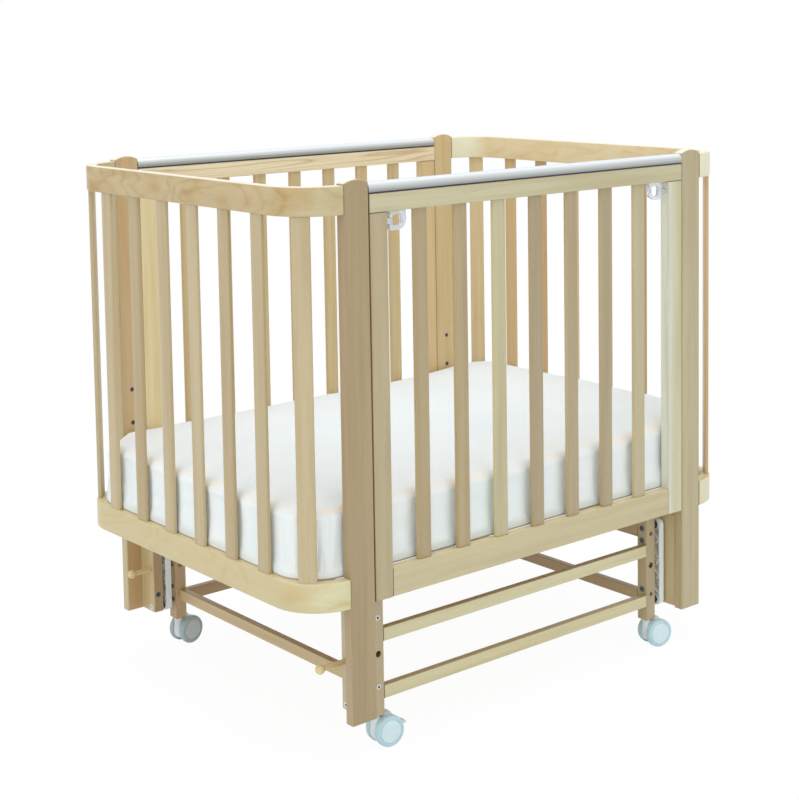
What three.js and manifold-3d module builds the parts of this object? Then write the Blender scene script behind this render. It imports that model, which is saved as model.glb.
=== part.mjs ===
// A pendulum crib: a cot with bent ends and one drop side, hung on four links
// from a low wheeled frame, so that the whole cot can swing sideways.
// Millimetres, +Z up, +X along the cot, -Y the drop side. The origin is on the
// floor, below the middle of the cot.

import * as THREE from 'three';
import { mergeVertices } from 'three/addons/utils/BufferGeometryUtils.js';
import Module from 'manifold-3d';

const wasm = await Module();
wasm.setup();

// Gaps and edges shared by all pieces
const fit = 0.3;                  // gap between pieces that touch
const slideGap = 0.9;             // gap between the long sides and the posts
const turnGap = 0.4;              // radial gap of a pin in its bore
const overrun = 2;                // how far a cut runs past the face it opens
const edgeRound = 1.2;            // eased edge of a board
const slatRound = 3;              // rounded edge of a slat

// Posts of the cot
const cribDepth = 680;            // over the posts, along Y
const postSpan = 784.4;           // over the posts, along X
const postWidth = 45.6;
const postThickness = 18.4;
const postBottom = 70.75;
const postTop = 891.25;
const postArchRise = 5.8;

// Long sides
const sideThickness = 18.4;
const sideBottom = 252.05;
const bottomRailHeight = 44.3;
const topRailHeight = 28;
const capHeight = 18;
const capFlatHeight = 8;          // straight part of the cap below its round top
const stileWidth = 34.3;
const sideSlatWidth = 26;
const sideSlatThickness = 9;
const sideSlatPitch = 81;
const sideSlatCount = 7;

// Bent ends
const endBulge = 79.8;            // how far an end stands out past the posts
const endThickness = 18.4;
const endCornerRadius = 81;       // outer radius of the bend
const endTopRailDrop = 7.8;       // from the post's top to the rail's top
const endTopRailHeight = 43;
const endSlatWidth = 28.5;
const endSlatThickness = 7;
const endSlatInset = 3;           // from the outer face of the rail to the slat
const endSlatMargin = 62.3;       // along the rail, from the post to the first slat's middle
const endSlatCount = 8;
const slatTenon = 4;              // how deep a slat stands in the rail below it

// Mattress base and mattress
const baseThickness = 8;
const baseSideGap = 3;            // from the base to the posts
const baseEndGap = 4;             // from the base to the end slats
const baseSlotWidth = 34;
const baseSlotPitch = 78;
const baseSlotLength = 500;
const baseSlotCount = 9;
const mattressSideGap = 2;
const mattressEndGap = 2;
const mattressEdgeHeight = 97;    // height of the side above the base
const mattressCrown = 23;         // how much the middle stands above the edge
const mattressSeamRound = 21;     // rounding from the side to the top
const mattressWaist = 3;          // how far the sides draw in above and below
const mattressLift = 19;          // how much higher the right end stands
const mattressLiftStart = 150;    // from the middle to where that rise starts

// Pendulum: hanger blocks on the cot, links, and pivots
const hangerThickness = 18.4;     // along X
const hangerDepth = 44.4;         // along Y, from the post inwards
const hangerHeight = 164.5;
const hangerBelowPivot = 8;
const pivotEdgeDistance = 10.4;   // from the hanger's inner face to the pivot
const lowerPivotHeight = 81.45;
const linkLength = 137;           // pivot to pivot
const linkEndMargin = 10;
const linkWidth = 26;
const linkThickness = 10.7;
const linkRim = 2.4;
const linkWeb = 2.6;
const linkRib = 2.2;
const linkBossRadius = 10.4;
const linkCornerRadius = 9.5;
const linkMiddleBossRadius = 7.6;
const linkRibsPerHalf = 3;
const pivotRadius = 4;
const pivotHeadRadius = 7;
const pivotHeadThickness = 3;
const pivotWasherRadius = 8.4;
const legWasherThickness = 9.6;
const hangerWasherThickness = 4.4;

// Lock pins in the left hanger blocks, drawn out as they are when the cot swings
const lockPinRadius = 4.5;
const lockPinLength = 50.4;       // from the tip to the knob
const lockPinOut = { front: 42.7, back: 32 }; // bare length from the hanger to the knob
const lockKnobRadius = 7.6;
const lockHoleDepth = 14;

// Wheeled base frame
const legWidth = 22;              // along X
const legThickness = 22;          // along Y
const legHeadroom = 20;           // from the upper pivot to the leg's top
const legHoleRadius = 5;
const legHoleDepth = 12;
const frameRailThickness = 13;
const sideRailHeight = 21;
const lowerSideRailBottom = 76.2;
const upperSideRailBottom = 167.4;
const endRailHeight = 19.5;
const endRailBottom = 84;
const endBoardHeight = 36;
const endBoardDrop = 3;           // from the leg's top to the board's top

// Casters
const wheelRadius = 24.8;
const wheelWidth = 11.5;
const wheelSpacing = 27.5;        // between the middles of the twin wheels
const wheelEdgeRound = 4;
const wheelDiscRadius = 18.6;
const wheelDiscRecess = 1.2;
const wheelDiscGroove = 1.6;
const casterTrail = 17.6;
const legClearance = 1.4;         // from the top of the wheels to the leg
const axleRadius = 3.2;
const stemRadius = 4;
const stemLength = 30;
const stemBossRadius = 7.3;
const hoodSetback = 0.9;          // hood radius below the wheel radius
const hoodCut = 11;               // height of the hood's open lower edge
const brakeSlotWidth = 9;
const brakeSlotDepth = 10;
const brakePinRadius = 1.5;
const brakeArmRadius = 3.6;
const brakeReach = 13.5;
const brakePadWidth = 13.4;
const brakePadThickness = 3.4;
const casterTurns = {
  front_left: -Math.PI * 7 / 180,
  front_right: -Math.PI * 13 / 180,
  back_left: Math.PI * 10 / 180,
  back_right: Math.PI * 9 / 180,
};

// Release latches at the drop side's top corners
const latchWidth = 31;
const latchHeight = 29.5;
const latchThickness = 8;
const latchWall = 5.5;
const latchBigRound = 15;         // the lower inner corner
const latchSmallRound = 2.5;
const latchHoleRound = 5;
const latchRailGap = 0.5;         // from the latch to the rail above it
const latchStandOff = 10;         // from the latch to the stile
const latchSetback = 11;          // from the side's front face to the latch's middle
const latchBoltRadius = 3.2;
const latchBoltDrop = 16.2;       // from the top rail to the bolt
const latchCollarRadius = 4.6;
const latchCollarLength = 4.5;

// Counts of facets, per quarter turn unless the name says round or wheel
const roundSteps = 14;
const wheelSteps = 20;
const easedSteps = 1;
const slatSteps = 2;
const cornerSteps = 3;
const planSteps = 4;
const capSteps = 8;               // over the cap's half round
const archSteps = 8;              // over the post's arch
const bendSteps = 8;
const bossSteps = 6;              // per half turn of a link's round shapes
const knobSteps = 9;
const mattressSteps = 5;
const mattressParts = 6;          // along each long side

// Shares of a size, from its start to its end
const sideShares = [0, 0.25, 0.5, 0.75, 1];
const seamShares = [1 / 3, 2 / 3, 1];
const crownShares = [0.12, 0.3, 0.55, 0.8];
const wheelRoundShares = [0, 1 / 3, 2 / 3, 1];

// Places that follow from the sizes
const postOuterX = postSpan / 2;
const postInnerX = postOuterX - postWidth;
const postOuterY = cribDepth / 2;
const postInnerY = postOuterY - postThickness;
const sideMiddleY = postOuterY - sideThickness / 2;
const sideHalfLength = postInnerX - slideGap;
const stileInnerX = sideHalfLength - stileWidth;
const bottomRailTop = sideBottom + bottomRailHeight;
const baseBottom = bottomRailTop + fit;
const baseTop = baseBottom + baseThickness;
const topRailBottom = postTop - postArchRise - capHeight - fit - topRailHeight;
const endOuterX = postOuterX + endBulge;
const endTopRailTop = postTop - endTopRailDrop;
const endTopRailBottom = endTopRailTop - endTopRailHeight;
const hangerInnerX = postInnerX;
const hangerMiddleX = hangerInnerX + hangerThickness / 2;
const hangerOuterX = hangerInnerX + hangerThickness;
const hangerInnerY = postInnerY - fit - hangerDepth;
const hangerBottom = lowerPivotHeight - hangerBelowPivot;
const hangerTop = hangerBottom + hangerHeight;
const pivotY = hangerInnerY + pivotEdgeDistance;
const upperPivotHeight = lowerPivotHeight + linkLength;
const middleHoleHeight = (lowerPivotHeight + upperPivotHeight) / 2;
const linkOuterX = hangerInnerX - hangerWasherThickness - fit;
const linkInnerX = linkOuterX - linkThickness;
const legOuterX = linkInnerX - fit - legWasherThickness;
const legInnerX = legOuterX - legWidth;
const legMiddleX = (legOuterX + legInnerX) / 2;
const legOuterY = pivotY + legThickness / 2;
const legInnerY = pivotY - legThickness / 2;
const legBottom = 2 * wheelRadius + legClearance;
const legTop = upperPivotHeight + legHeadroom;

// Materials
function finish(color, roughness, metalness = 0) {
  return new THREE.MeshStandardMaterial({ color, roughness, metalness });
}
const looks = {
  beech: finish(0xd6c49c, 0.45),
  ply: finish(0xcdb98a, 0.4),
  slat: finish(0xdccba4, 0.45),
  frame: finish(0xc9b287, 0.5),
  dowel: finish(0xc89a58, 0.5),
  cap: finish(0xb9b4cc, 0.35, 0.2),
  clear: finish(0xe2ecea, 0.15),
  link: finish(0xe6eeee, 0.4),
  hood: finish(0xdbe9ee, 0.4),
  wheel: finish(0xb9d3d8, 0.45),
  base: finish(0xc8b184, 0.6),
  sheet: finish(0xf2f3f6, 0.9),
};

const crib = new THREE.Group();
const sides = { left: -1, right: 1 };
const faces = { front: -1, back: 1 };

function add(name, geometry, look, place = new THREE.Matrix4()) {
  const mesh = new THREE.Mesh(geometry, look.clone());
  mesh.name = name;
  mesh.applyMatrix4(place);
  crib.add(mesh);
  return mesh;
}

function at(x, y, z) {
  return new THREE.Matrix4().makeTranslation(x, y, z);
}

// Solids and cuts
function solid(geometry) {
  const bare = geometry.clone();
  for (const name of Object.keys(bare.attributes)) {
    if (name !== 'position') bare.deleteAttribute(name);
  }
  const merged = mergeVertices(bare);
  const index = merged.index.array;
  return new wasm.Manifold(new wasm.Mesh({
    numProp: 3,
    vertProperties: new Float32Array(merged.attributes.position.array),
    triVerts: new Uint32Array(index),
  }));
}

function geometryOf(body) {
  const mesh = body.getMesh();
  const geometry = new THREE.BufferGeometry();
  geometry.setAttribute('position', new THREE.BufferAttribute(mesh.vertProperties, 3));
  geometry.setIndex(new THREE.BufferAttribute(mesh.triVerts, 1));
  geometry.computeVertexNormals();
  return geometry;
}

// Outlines. Each is centred on its own middle unless its name says otherwise.
function roundedBox(width, height, radius) {
  const x = width / 2;
  const y = height / 2;
  const shape = new THREE.Shape();
  shape.absarc(x - radius, y - radius, radius, 0, Math.PI / 2);
  shape.absarc(radius - x, y - radius, radius, Math.PI / 2, Math.PI);
  shape.absarc(radius - x, radius - y, radius, Math.PI, 3 * Math.PI / 2);
  shape.absarc(x - radius, radius - y, radius, 3 * Math.PI / 2, 2 * Math.PI);
  return shape;
}

function plainBox(width, height) {
  const x = width / 2;
  const y = height / 2;
  return new THREE.Shape([
    new THREE.Vector2(-x, -y),
    new THREE.Vector2(x, -y),
    new THREE.Vector2(x, y),
    new THREE.Vector2(-x, y),
  ]);
}

function disc(radius, x = 0, y = 0) {
  const shape = new THREE.Shape();
  shape.absarc(x, y, radius, 0, 2 * Math.PI);
  return shape;
}

// An outline given a thickness, centred on its own plane, with eased edges
function thicken(shape, thickness, ease = 0, steps = cornerSteps) {
  const geometry = new THREE.ExtrudeGeometry(shape, {
    depth: thickness - 2 * ease,
    bevelEnabled: ease > 0,
    bevelThickness: ease,
    bevelSize: ease,
    bevelOffset: -ease,
    bevelSegments: 1,
    curveSegments: steps,
  });
  geometry.translate(0, 0, ease - thickness / 2);
  return geometry;
}

// The outline's plane turned from the floor to face the front (X, Z) or an end (Y, Z)
function toFront(geometry) {
  return geometry.rotateX(Math.PI / 2);
}

function toEnd(geometry) {
  return geometry.rotateX(Math.PI / 2).rotateZ(Math.PI / 2);
}

// A board from its three sizes, its long edges eased
function board(x, y, z) {
  const longest = Math.max(x, y, z);
  const ease = edgeRound;
  if (longest === x) return toEnd(thicken(roundedBox(y, z, ease), x, 0, easedSteps));
  if (longest === y) return toFront(thicken(roundedBox(x, z, ease), y, 0, easedSteps));
  return thicken(roundedBox(x, y, ease), z, 0, easedSteps);
}

function rod(radius, length, steps = roundSteps) {
  return new THREE.CylinderGeometry(radius, radius, length, steps);
}

function rodAlongX(radius, from, to, y, z) {
  const geometry = rod(radius, Math.abs(to - from)).rotateZ(Math.PI / 2);
  return geometry.translate((from + to) / 2, y, z);
}

function rodAlongY(radius, from, to, x, z) {
  return rod(radius, Math.abs(to - from)).translate(x, (from + to) / 2, z);
}

function rodAlongZ(radius, from, to, x, y) {
  const geometry = rod(radius, Math.abs(to - from)).rotateX(Math.PI / 2);
  return geometry.translate(x, y, (from + to) / 2);
}

// Posts: flat boards with an arched top
function postOutline() {
  const half = postWidth / 2;
  const height = postTop - postBottom;
  const shoulder = height - postArchRise;
  const archRadius = (half * half + postArchRise * postArchRise) / (2 * postArchRise);
  const archAngle = Math.asin(half / archRadius);
  const shape = new THREE.Shape();
  shape.moveTo(-half, 0);
  shape.lineTo(half, 0);
  shape.lineTo(half, shoulder);
  const up = Math.PI / 2;
  shape.absarc(0, height - archRadius, archRadius, up - archAngle, up + archAngle);
  shape.lineTo(-half, 0);
  return shape;
}

function addPosts() {
  for (const [face, ySign] of Object.entries(faces)) {
    for (const [side, xSign] of Object.entries(sides)) {
      const post = toFront(thicken(postOutline(), postThickness, edgeRound, archSteps));
      const x = xSign * (postInnerX + postWidth / 2);
      const y = ySign * (postInnerY + postThickness / 2);
      add(`post_${face}_${side}`, post, looks.beech, at(x, y, postBottom));
    }
  }
}

// Long sides: a frame of rails and stiles with upright slats and a round cap
function sideSlat() {
  const slatBottom = bottomRailTop + fit;
  const height = topRailBottom - fit - slatBottom;
  return thicken(roundedBox(sideSlatWidth, sideSlatThickness, slatRound), height, 0, slatSteps);
}

function sideSlatPlaces() {
  const middle = (sideSlatCount - 1) / 2;
  return Array.from({ length: sideSlatCount }, (_, i) => (i - middle) * sideSlatPitch);
}

function capOutline() {
  const half = sideThickness / 2;
  const shape = new THREE.Shape();
  shape.moveTo(-half, 0);
  shape.lineTo(half, 0);
  shape.lineTo(half, capFlatHeight);
  shape.absellipse(0, capFlatHeight, half, capHeight - capFlatHeight, 0, Math.PI);
  shape.lineTo(-half, 0);
  return shape;
}

function addSide(name, ySign, hasLatches, slatsAreFused) {
  const y = ySign * sideMiddleY;
  const stileHeight = topRailBottom - fit - sideBottom;
  const topRailMiddle = topRailBottom + topRailHeight / 2;
  const topRail = board(2 * sideHalfLength, sideThickness, topRailHeight);
  add(`${name}_top_rail`, topRail, looks.beech, at(0, y, topRailMiddle));
  for (const [side, xSign] of Object.entries(sides)) {
    let stile = board(stileWidth, sideThickness, stileHeight);
    if (hasLatches) {
      const boltZ = topRailBottom - latchBoltDrop - (sideBottom + stileHeight / 2);
      const boltY = latchSetback - sideThickness / 2;
      const bore = rodAlongX(latchBoltRadius + fit, -stileWidth, stileWidth, boltY, boltZ);
      stile = geometryOf(solid(stile).subtract(solid(bore)));
    }
    const x = xSign * (stileInnerX + stileWidth / 2);
    add(`${name}_stile_${side}`, stile, looks.beech, at(x, y, sideBottom + stileHeight / 2));
  }
  const cap = toEnd(thicken(capOutline(), 2 * sideHalfLength, 0, capSteps));
  const capBottom = topRailBottom + topRailHeight + fit;
  add(`${name}_teething_cap`, cap, looks.cap, at(0, y, capBottom));

  const railLength = 2 * (stileInnerX - fit);
  const rail = board(railLength, sideThickness, bottomRailHeight);
  const railMiddle = sideBottom + bottomRailHeight / 2;
  if (!slatsAreFused) {
    add(`${name}_bottom_rail`, rail, looks.beech, at(0, y, railMiddle));
    const slatMiddle = (bottomRailTop + topRailBottom) / 2;
    sideSlatPlaces().forEach((x, i) => {
      add(`${name}_slat_${i + 1}`, sideSlat(), looks.slat, at(x, y, slatMiddle));
    });
    return;
  }
  let comb = solid(rail.translate(0, y, railMiddle));
  const slatBottom = bottomRailTop - slatTenon;
  const slatHeight = topRailBottom - fit - slatBottom;
  const slat = roundedBox(sideSlatWidth, sideSlatThickness, slatRound);
  for (const x of sideSlatPlaces()) {
    const bar = thicken(slat, slatHeight, 0, slatSteps).translate(x, y, slatBottom + slatHeight / 2);
    comb = comb.add(solid(bar));
  }
  add(`${name}_bottom_rail_and_slats`, geometryOf(comb), looks.slat);
}

// Bent ends. The bend runs from the post's outer face round to the flat end.
const bendCentreX = endOuterX - endCornerRadius;
const bendCentreY = postOuterY - endCornerRadius;
const bendStartX = postOuterX + fit;

// Points of the bent rail's plan at a distance inside its outer face, from the
// front post to the back post of the right end
function bentLine(inset, steps) {
  const radius = endCornerRadius - inset;
  const reach = THREE.MathUtils.clamp((bendStartX - bendCentreX) / radius, 0, 1);
  const sweep = Math.acos(reach);
  const points = [];
  for (let i = 0; i <= steps; i += 1) {
    const angle = sweep * (1 - i / steps);
    const x = bendCentreX + radius * Math.cos(angle);
    const y = bendCentreY + radius * Math.sin(angle);
    points.push(new THREE.Vector2(x, -y));
  }
  if (bendCentreX > bendStartX) points.unshift(new THREE.Vector2(bendStartX, points[0].y));
  const mirrored = points.map((p) => new THREE.Vector2(p.x, -p.y)).reverse();
  return points.concat(mirrored);
}

function bentRail(height) {
  const outer = bentLine(0, bendSteps);
  const inner = bentLine(endThickness, bendSteps).reverse();
  return thicken(new THREE.Shape(outer.concat(inner)), height, edgeRound);
}

// The line through the slats' middles, and the slats' even pitch along it
const slatLineRadius = endCornerRadius - endSlatInset - endSlatThickness / 2;
const slatLineSweep = Math.acos((bendStartX - bendCentreX) / slatLineRadius);
const slatLineHalf = bendCentreY + slatLineRadius * slatLineSweep;
const endSlatPitch = 2 * (slatLineHalf - endSlatMargin) / (endSlatCount - 1);

// Where a slat stands on the bent rail: a place and a turn for a distance
// along the rail from the middle of the end
function placeOnEnd(distance) {
  const radius = slatLineRadius;
  const straight = bendCentreY;
  const past = Math.max(Math.abs(distance) - straight, 0);
  const angle = past / radius;
  const sign = Math.sign(distance);
  const x = bendCentreX + radius * Math.cos(angle);
  const y = sign * (Math.min(Math.abs(distance), straight) + radius * Math.sin(angle));
  return { x, y, turn: sign * angle };
}

function addEnds() {
  const slatOutline = roundedBox(endSlatThickness, endSlatWidth, slatRound);
  const slatBottom = bottomRailTop - slatTenon;
  const slatHeight = endTopRailBottom - fit - slatBottom;
  for (const [side, xSign] of Object.entries(sides)) {
    const turn = new THREE.Matrix4().makeRotationZ(xSign < 0 ? Math.PI : 0);
    const top = bentRail(endTopRailHeight);
    top.translate(0, 0, endTopRailBottom + endTopRailHeight / 2);
    add(`end_top_rail_${side}`, top, looks.ply, turn);

    const bottom = bentRail(bottomRailHeight);
    bottom.translate(0, 0, sideBottom + bottomRailHeight / 2);
    let comb = solid(bottom);
    for (let i = 0; i < endSlatCount; i += 1) {
      const place = placeOnEnd((i - (endSlatCount - 1) / 2) * endSlatPitch);
      const slat = thicken(slatOutline, slatHeight, 0, slatSteps).rotateZ(place.turn);
      slat.translate(place.x, place.y, slatBottom + slatHeight / 2);
      comb = comb.add(solid(slat));
    }
    add(`end_bottom_rail_and_slats_${side}`, geometryOf(comb), looks.ply, turn);
  }
}

// Mattress base: a slotted panel that rests on the bottom rails of the bent ends
function innerPlan(sideGap, endGap) {
  const halfX = endOuterX - endSlatInset - endSlatThickness - endGap;
  const halfY = postInnerY - sideGap;
  const radius = endCornerRadius - endSlatInset - endSlatThickness - endGap;
  return { halfX, halfY, radius };
}

function addMattressBase() {
  const plan = innerPlan(baseSideGap, baseEndGap);
  const outline = roundedBox(2 * plan.halfX, 2 * plan.halfY, plan.radius);
  const middle = (baseSlotCount - 1) / 2;
  for (let i = 0; i < baseSlotCount; i += 1) {
    const slot = roundedBox(baseSlotWidth, baseSlotLength, baseSlotWidth / 2);
    const x = (i - middle) * baseSlotPitch;
    const points = slot.getPoints(slatSteps).map((p) => new THREE.Vector2(p.x + x, p.y));
    outline.holes.push(new THREE.Path(points));
  }
  const panel = thicken(outline, baseThickness, 0, planSteps);
  add('mattress_base', panel, looks.base, at(0, 0, (baseBottom + baseTop) / 2));
}

// Mattress: drawn-in sides, a rounded seam and a crowned top, as rings of points
// that follow the plan of the cot. Its right end stands higher than the left.
function mattressRise(x, z) {
  const bottom = baseTop + fit;
  const along = (x - mattressLiftStart) / (endOuterX - mattressLiftStart);
  const share = THREE.MathUtils.clamp(along, 0, 1);
  const height = THREE.MathUtils.clamp((z - bottom) / mattressEdgeHeight, 0, 1);
  return z + mattressLift * height * share * share;
}

function mattressRing(plan, inset, z, steps) {
  const ring = [];
  const put = (x, y) => ring.push([x, y, mattressRise(x, z)]);
  const radius = Math.max(plan.radius - inset, 0);
  const shrink = Math.max(inset - plan.radius, 0);
  const cornerX = plan.halfX - plan.radius - shrink;
  const cornerY = plan.halfY - plan.radius - shrink;
  for (let corner = 0; corner < 4; corner += 1) {
    const xSign = corner === 0 || corner === 3 ? 1 : -1;
    const ySign = corner < 2 ? 1 : -1;
    for (let i = 0; i <= steps; i += 1) {
      const angle = (corner + i / steps) * Math.PI / 2;
      put(xSign * cornerX + radius * Math.cos(angle), ySign * cornerY + radius * Math.sin(angle));
    }
    const startsLongSide = corner === 0 || corner === 2;
    for (let part = 1; startsLongSide && part < mattressParts; part += 1) {
      const x = THREE.MathUtils.lerp(xSign * cornerX, -xSign * cornerX, part / mattressParts);
      put(x, ySign * (cornerY + radius));
    }
  }
  return ring;
}

function mattressRings(plan, bottom, edge) {
  const rings = [];
  const steps = mattressSteps;
  const round = mattressSeamRound;
  const half = mattressEdgeHeight / 2;
  const sideLow = bottom + round / 2;
  const sideHigh = edge - round;
  rings.push(mattressRing(plan, round / 2 + mattressWaist, bottom, steps));
  for (const share of sideShares) {
    const z = THREE.MathUtils.lerp(sideLow, sideHigh, share);
    const pull = mattressWaist * Math.pow((z - bottom - half) / half, 2);
    rings.push(mattressRing(plan, pull, z, steps));
  }
  const startPull = mattressWaist * Math.pow((sideHigh - bottom - half) / half, 2);
  for (const share of seamShares) {
    const angle = share * Math.PI / 2;
    const inset = startPull + round * (1 - Math.cos(angle));
    rings.push(mattressRing(plan, inset, sideHigh + round * Math.sin(angle), steps));
  }
  const topInset = startPull + round;
  const reach = plan.halfY - topInset;
  for (const share of crownShares) {
    const z = edge + mattressCrown * (1 - Math.pow(1 - share, 2));
    rings.push(mattressRing(plan, topInset + reach * share, z, steps));
  }
  return rings;
}

function addMattress() {
  const plan = innerPlan(mattressSideGap, mattressEndGap);
  const bottom = baseTop + fit;
  const edge = bottom + mattressEdgeHeight;
  const rings = mattressRings(plan, bottom, edge);
  const count = rings[0].length;
  const points = rings.flat();
  const triangles = [];
  for (let r = 0; r + 1 < rings.length; r += 1) {
    for (let i = 0; i < count; i += 1) {
      const a = r * count + i;
      const b = r * count + (i + 1) % count;
      triangles.push([a, b, b + count], [a, b + count, a + count]);
    }
  }
  // The top closes on a ridge of points, the underside on its middle
  const under = points.push([0, 0, bottom]) - 1;
  const half = plan.halfX - plan.halfY;
  const ridge = [];
  for (let part = 0; part <= mattressParts; part += 1) {
    const x = THREE.MathUtils.lerp(half, -half, part / mattressParts);
    ridge.push(points.push([x, 0, mattressRise(x, edge + mattressCrown)]) - 1);
  }
  const arc = mattressSteps + 1;
  const ridgeOf = (i) => {
    const isFront = i >= count / 2;
    const along = isFront ? i - count / 2 : i;
    const part = THREE.MathUtils.clamp(along - arc + 1, 0, mattressParts);
    return ridge[isFront ? mattressParts - part : part];
  };
  const last = (rings.length - 1) * count;
  for (let i = 0; i < count; i += 1) {
    const next = (i + 1) % count;
    triangles.push([under, next, i]);
    const [from, to] = [ridgeOf(i), ridgeOf(next)];
    triangles.push([last + i, last + next, to]);
    if (from !== to) triangles.push([last + i, to, from]);
  }
  const geometry = new THREE.BufferGeometry();
  geometry.setAttribute('position', new THREE.Float32BufferAttribute(points.flat(), 3));
  geometry.setIndex(triangles.flat());
  geometry.computeVertexNormals();
  add('mattress', geometry, looks.sheet);
}

// Hanger blocks: they stand behind the posts and carry the lower pivots
function addHangers() {
  const height = hangerTop - hangerBottom;
  for (const [face, ySign] of Object.entries(faces)) {
    for (const [side, xSign] of Object.entries(sides)) {
      const block = board(hangerThickness, hangerDepth, height);
      const y = ySign * (hangerInnerY + hangerDepth / 2);
      block.translate(xSign * hangerMiddleX, y, (hangerTop + hangerBottom) / 2);
      const headX = linkInnerX + pivotHeadThickness;
      const washerX = hangerInnerX - hangerWasherThickness;
      const washer = rodAlongX(pivotWasherRadius, xSign * washerX,
        xSign * (hangerInnerX + overrun), ySign * pivotY, lowerPivotHeight);
      const shank = rodAlongX(pivotRadius, xSign * linkInnerX,
        xSign * (hangerInnerX + overrun), ySign * pivotY, lowerPivotHeight);
      const head = rodAlongX(pivotHeadRadius, xSign * linkInnerX, xSign * headX,
        ySign * pivotY, lowerPivotHeight);
      let body = solid(block).add(solid(washer)).add(solid(shank)).add(solid(head));
      if (side === 'left') {
        const bore = rodAlongX(lockPinRadius + fit, xSign * (hangerInnerX - overrun),
          xSign * (hangerOuterX + overrun), ySign * pivotY, middleHoleHeight);
        body = body.subtract(solid(bore));
      }
      add(`hanger_block_${face}_${side}`, geometryOf(body), looks.beech);
    }
  }
}

// Links: moulded channels, open to the left, with a rim, a thin web, zigzag ribs,
// a boss at each pivot and one in the middle for the lock pin. The outline lies
// in the plane of Y and Z, the thickness along X. Each pivot's head sits in a
// recess: the upper one on the cot's side, the lower one on the leg's side.
function linkRibBars() {
  const bars = [];
  const halfInside = linkWidth / 2 - linkRim / 2;
  const from = linkMiddleBossRadius;
  const to = linkLength / 2 - linkBossRadius;
  for (const up of [-1, 1]) {
    for (let i = 0; i < linkRibsPerHalf; i += 1) {
      const start = new THREE.Vector2(i % 2 ? halfInside : -halfInside,
        from + (to - from) * i / linkRibsPerHalf);
      const end = new THREE.Vector2(-start.x, from + (to - from) * (i + 1) / linkRibsPerHalf);
      const length = start.distanceTo(end);
      const bar = thicken(plainBox(linkRib, length), linkThickness);
      bar.rotateZ(Math.atan2(start.x - end.x, end.y - start.y));
      bar.translate(0, (start.y + end.y) / 2, 0);
      if (up < 0) bar.rotateZ(Math.PI);
      bars.push(solid(bar));
    }
  }
  return bars;
}

function linkBody() {
  const height = linkLength + 2 * linkEndMargin;
  const insideWidth = linkWidth - 2 * linkRim;
  const insideHeight = height - 2 * linkRim;
  const insideRadius = linkCornerRadius - linkRim;
  const shell = thicken(roundedBox(linkWidth, height, linkCornerRadius), linkThickness);
  const pocket = thicken(roundedBox(insideWidth, insideHeight, insideRadius), linkThickness);
  let body = solid(shell).subtract(solid(pocket.translate(0, 0, -linkWeb)));
  const inside = solid(thicken(roundedBox(linkWidth - linkRim, height - linkRim,
    linkCornerRadius - linkRim / 2), linkThickness));
  let fill = solid(thicken(disc(linkMiddleBossRadius), linkThickness, 0, bossSteps));
  for (const end of [-1, 1]) {
    fill = fill.add(solid(thicken(disc(linkBossRadius, 0, end * linkLength / 2),
      linkThickness, 0, bossSteps)));
  }
  for (const bar of linkRibBars()) fill = fill.add(bar);
  body = body.add(fill.intersect(inside));
  const through = linkThickness + 2 * overrun;
  for (const end of [-1, 1]) {
    const middle = end * linkLength / 2;
    body = body.subtract(solid(thicken(disc(pivotRadius + turnGap, 0, middle), through, 0, bossSteps)));
    const depth = pivotHeadThickness + turnGap;
    const seat = thicken(disc(pivotHeadRadius + turnGap, 0, middle), depth + overrun, 0, bossSteps);
    seat.translate(0, 0, end * (linkThickness / 2 - depth + (depth + overrun) / 2));
    body = body.subtract(solid(seat));
  }
  return body.subtract(solid(thicken(disc(lockPinRadius + turnGap), through, 0, bossSteps)));
}

function addLinks() {
  const shape = geometryOf(linkBody());
  const x = (linkOuterX + linkInnerX) / 2;
  for (const [face, ySign] of Object.entries(faces)) {
    for (const [side, xSign] of Object.entries(sides)) {
      const link = toEnd(shape.clone());
      if (xSign < 0) link.rotateX(Math.PI);
      add(`link_${face}_${side}`, link, looks.link,
        at(xSign * x, ySign * pivotY, middleHoleHeight));
    }
  }
}

// Lock pins: a dowel with a turned ball for a knob, in the left hanger blocks
const knobNeckAngle = Math.acos(lockPinRadius / lockKnobRadius);
const knobMiddle = lockKnobRadius * Math.sin(knobNeckAngle);

function knobProfile() {
  const points = [new THREE.Vector2(0, 0)];
  for (let i = 0; i <= knobSteps; i += 1) {
    const angle = THREE.MathUtils.lerp(-knobNeckAngle, Math.PI / 2, i / knobSteps);
    points.push(new THREE.Vector2(lockKnobRadius * Math.cos(angle),
      knobMiddle + lockKnobRadius * Math.sin(angle)));
  }
  points[1].y = 0;
  points[points.length - 1].x = 0;
  return points;
}

function addLockPins() {
  for (const [face, ySign] of Object.entries(faces)) {
    const knobStart = -(hangerOuterX + lockPinOut[face]);
    const pin = rodAlongX(lockPinRadius, knobStart - knobMiddle / 2, knobStart + lockPinLength,
      ySign * pivotY, middleHoleHeight);
    const knob = new THREE.LatheGeometry(knobProfile(), roundSteps).rotateZ(Math.PI / 2);
    knob.translate(knobStart, ySign * pivotY, middleHoleHeight);
    const body = solid(pin).add(solid(knob));
    add(`lock_pin_${face}`, geometryOf(body), looks.dowel);
  }
}

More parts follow.
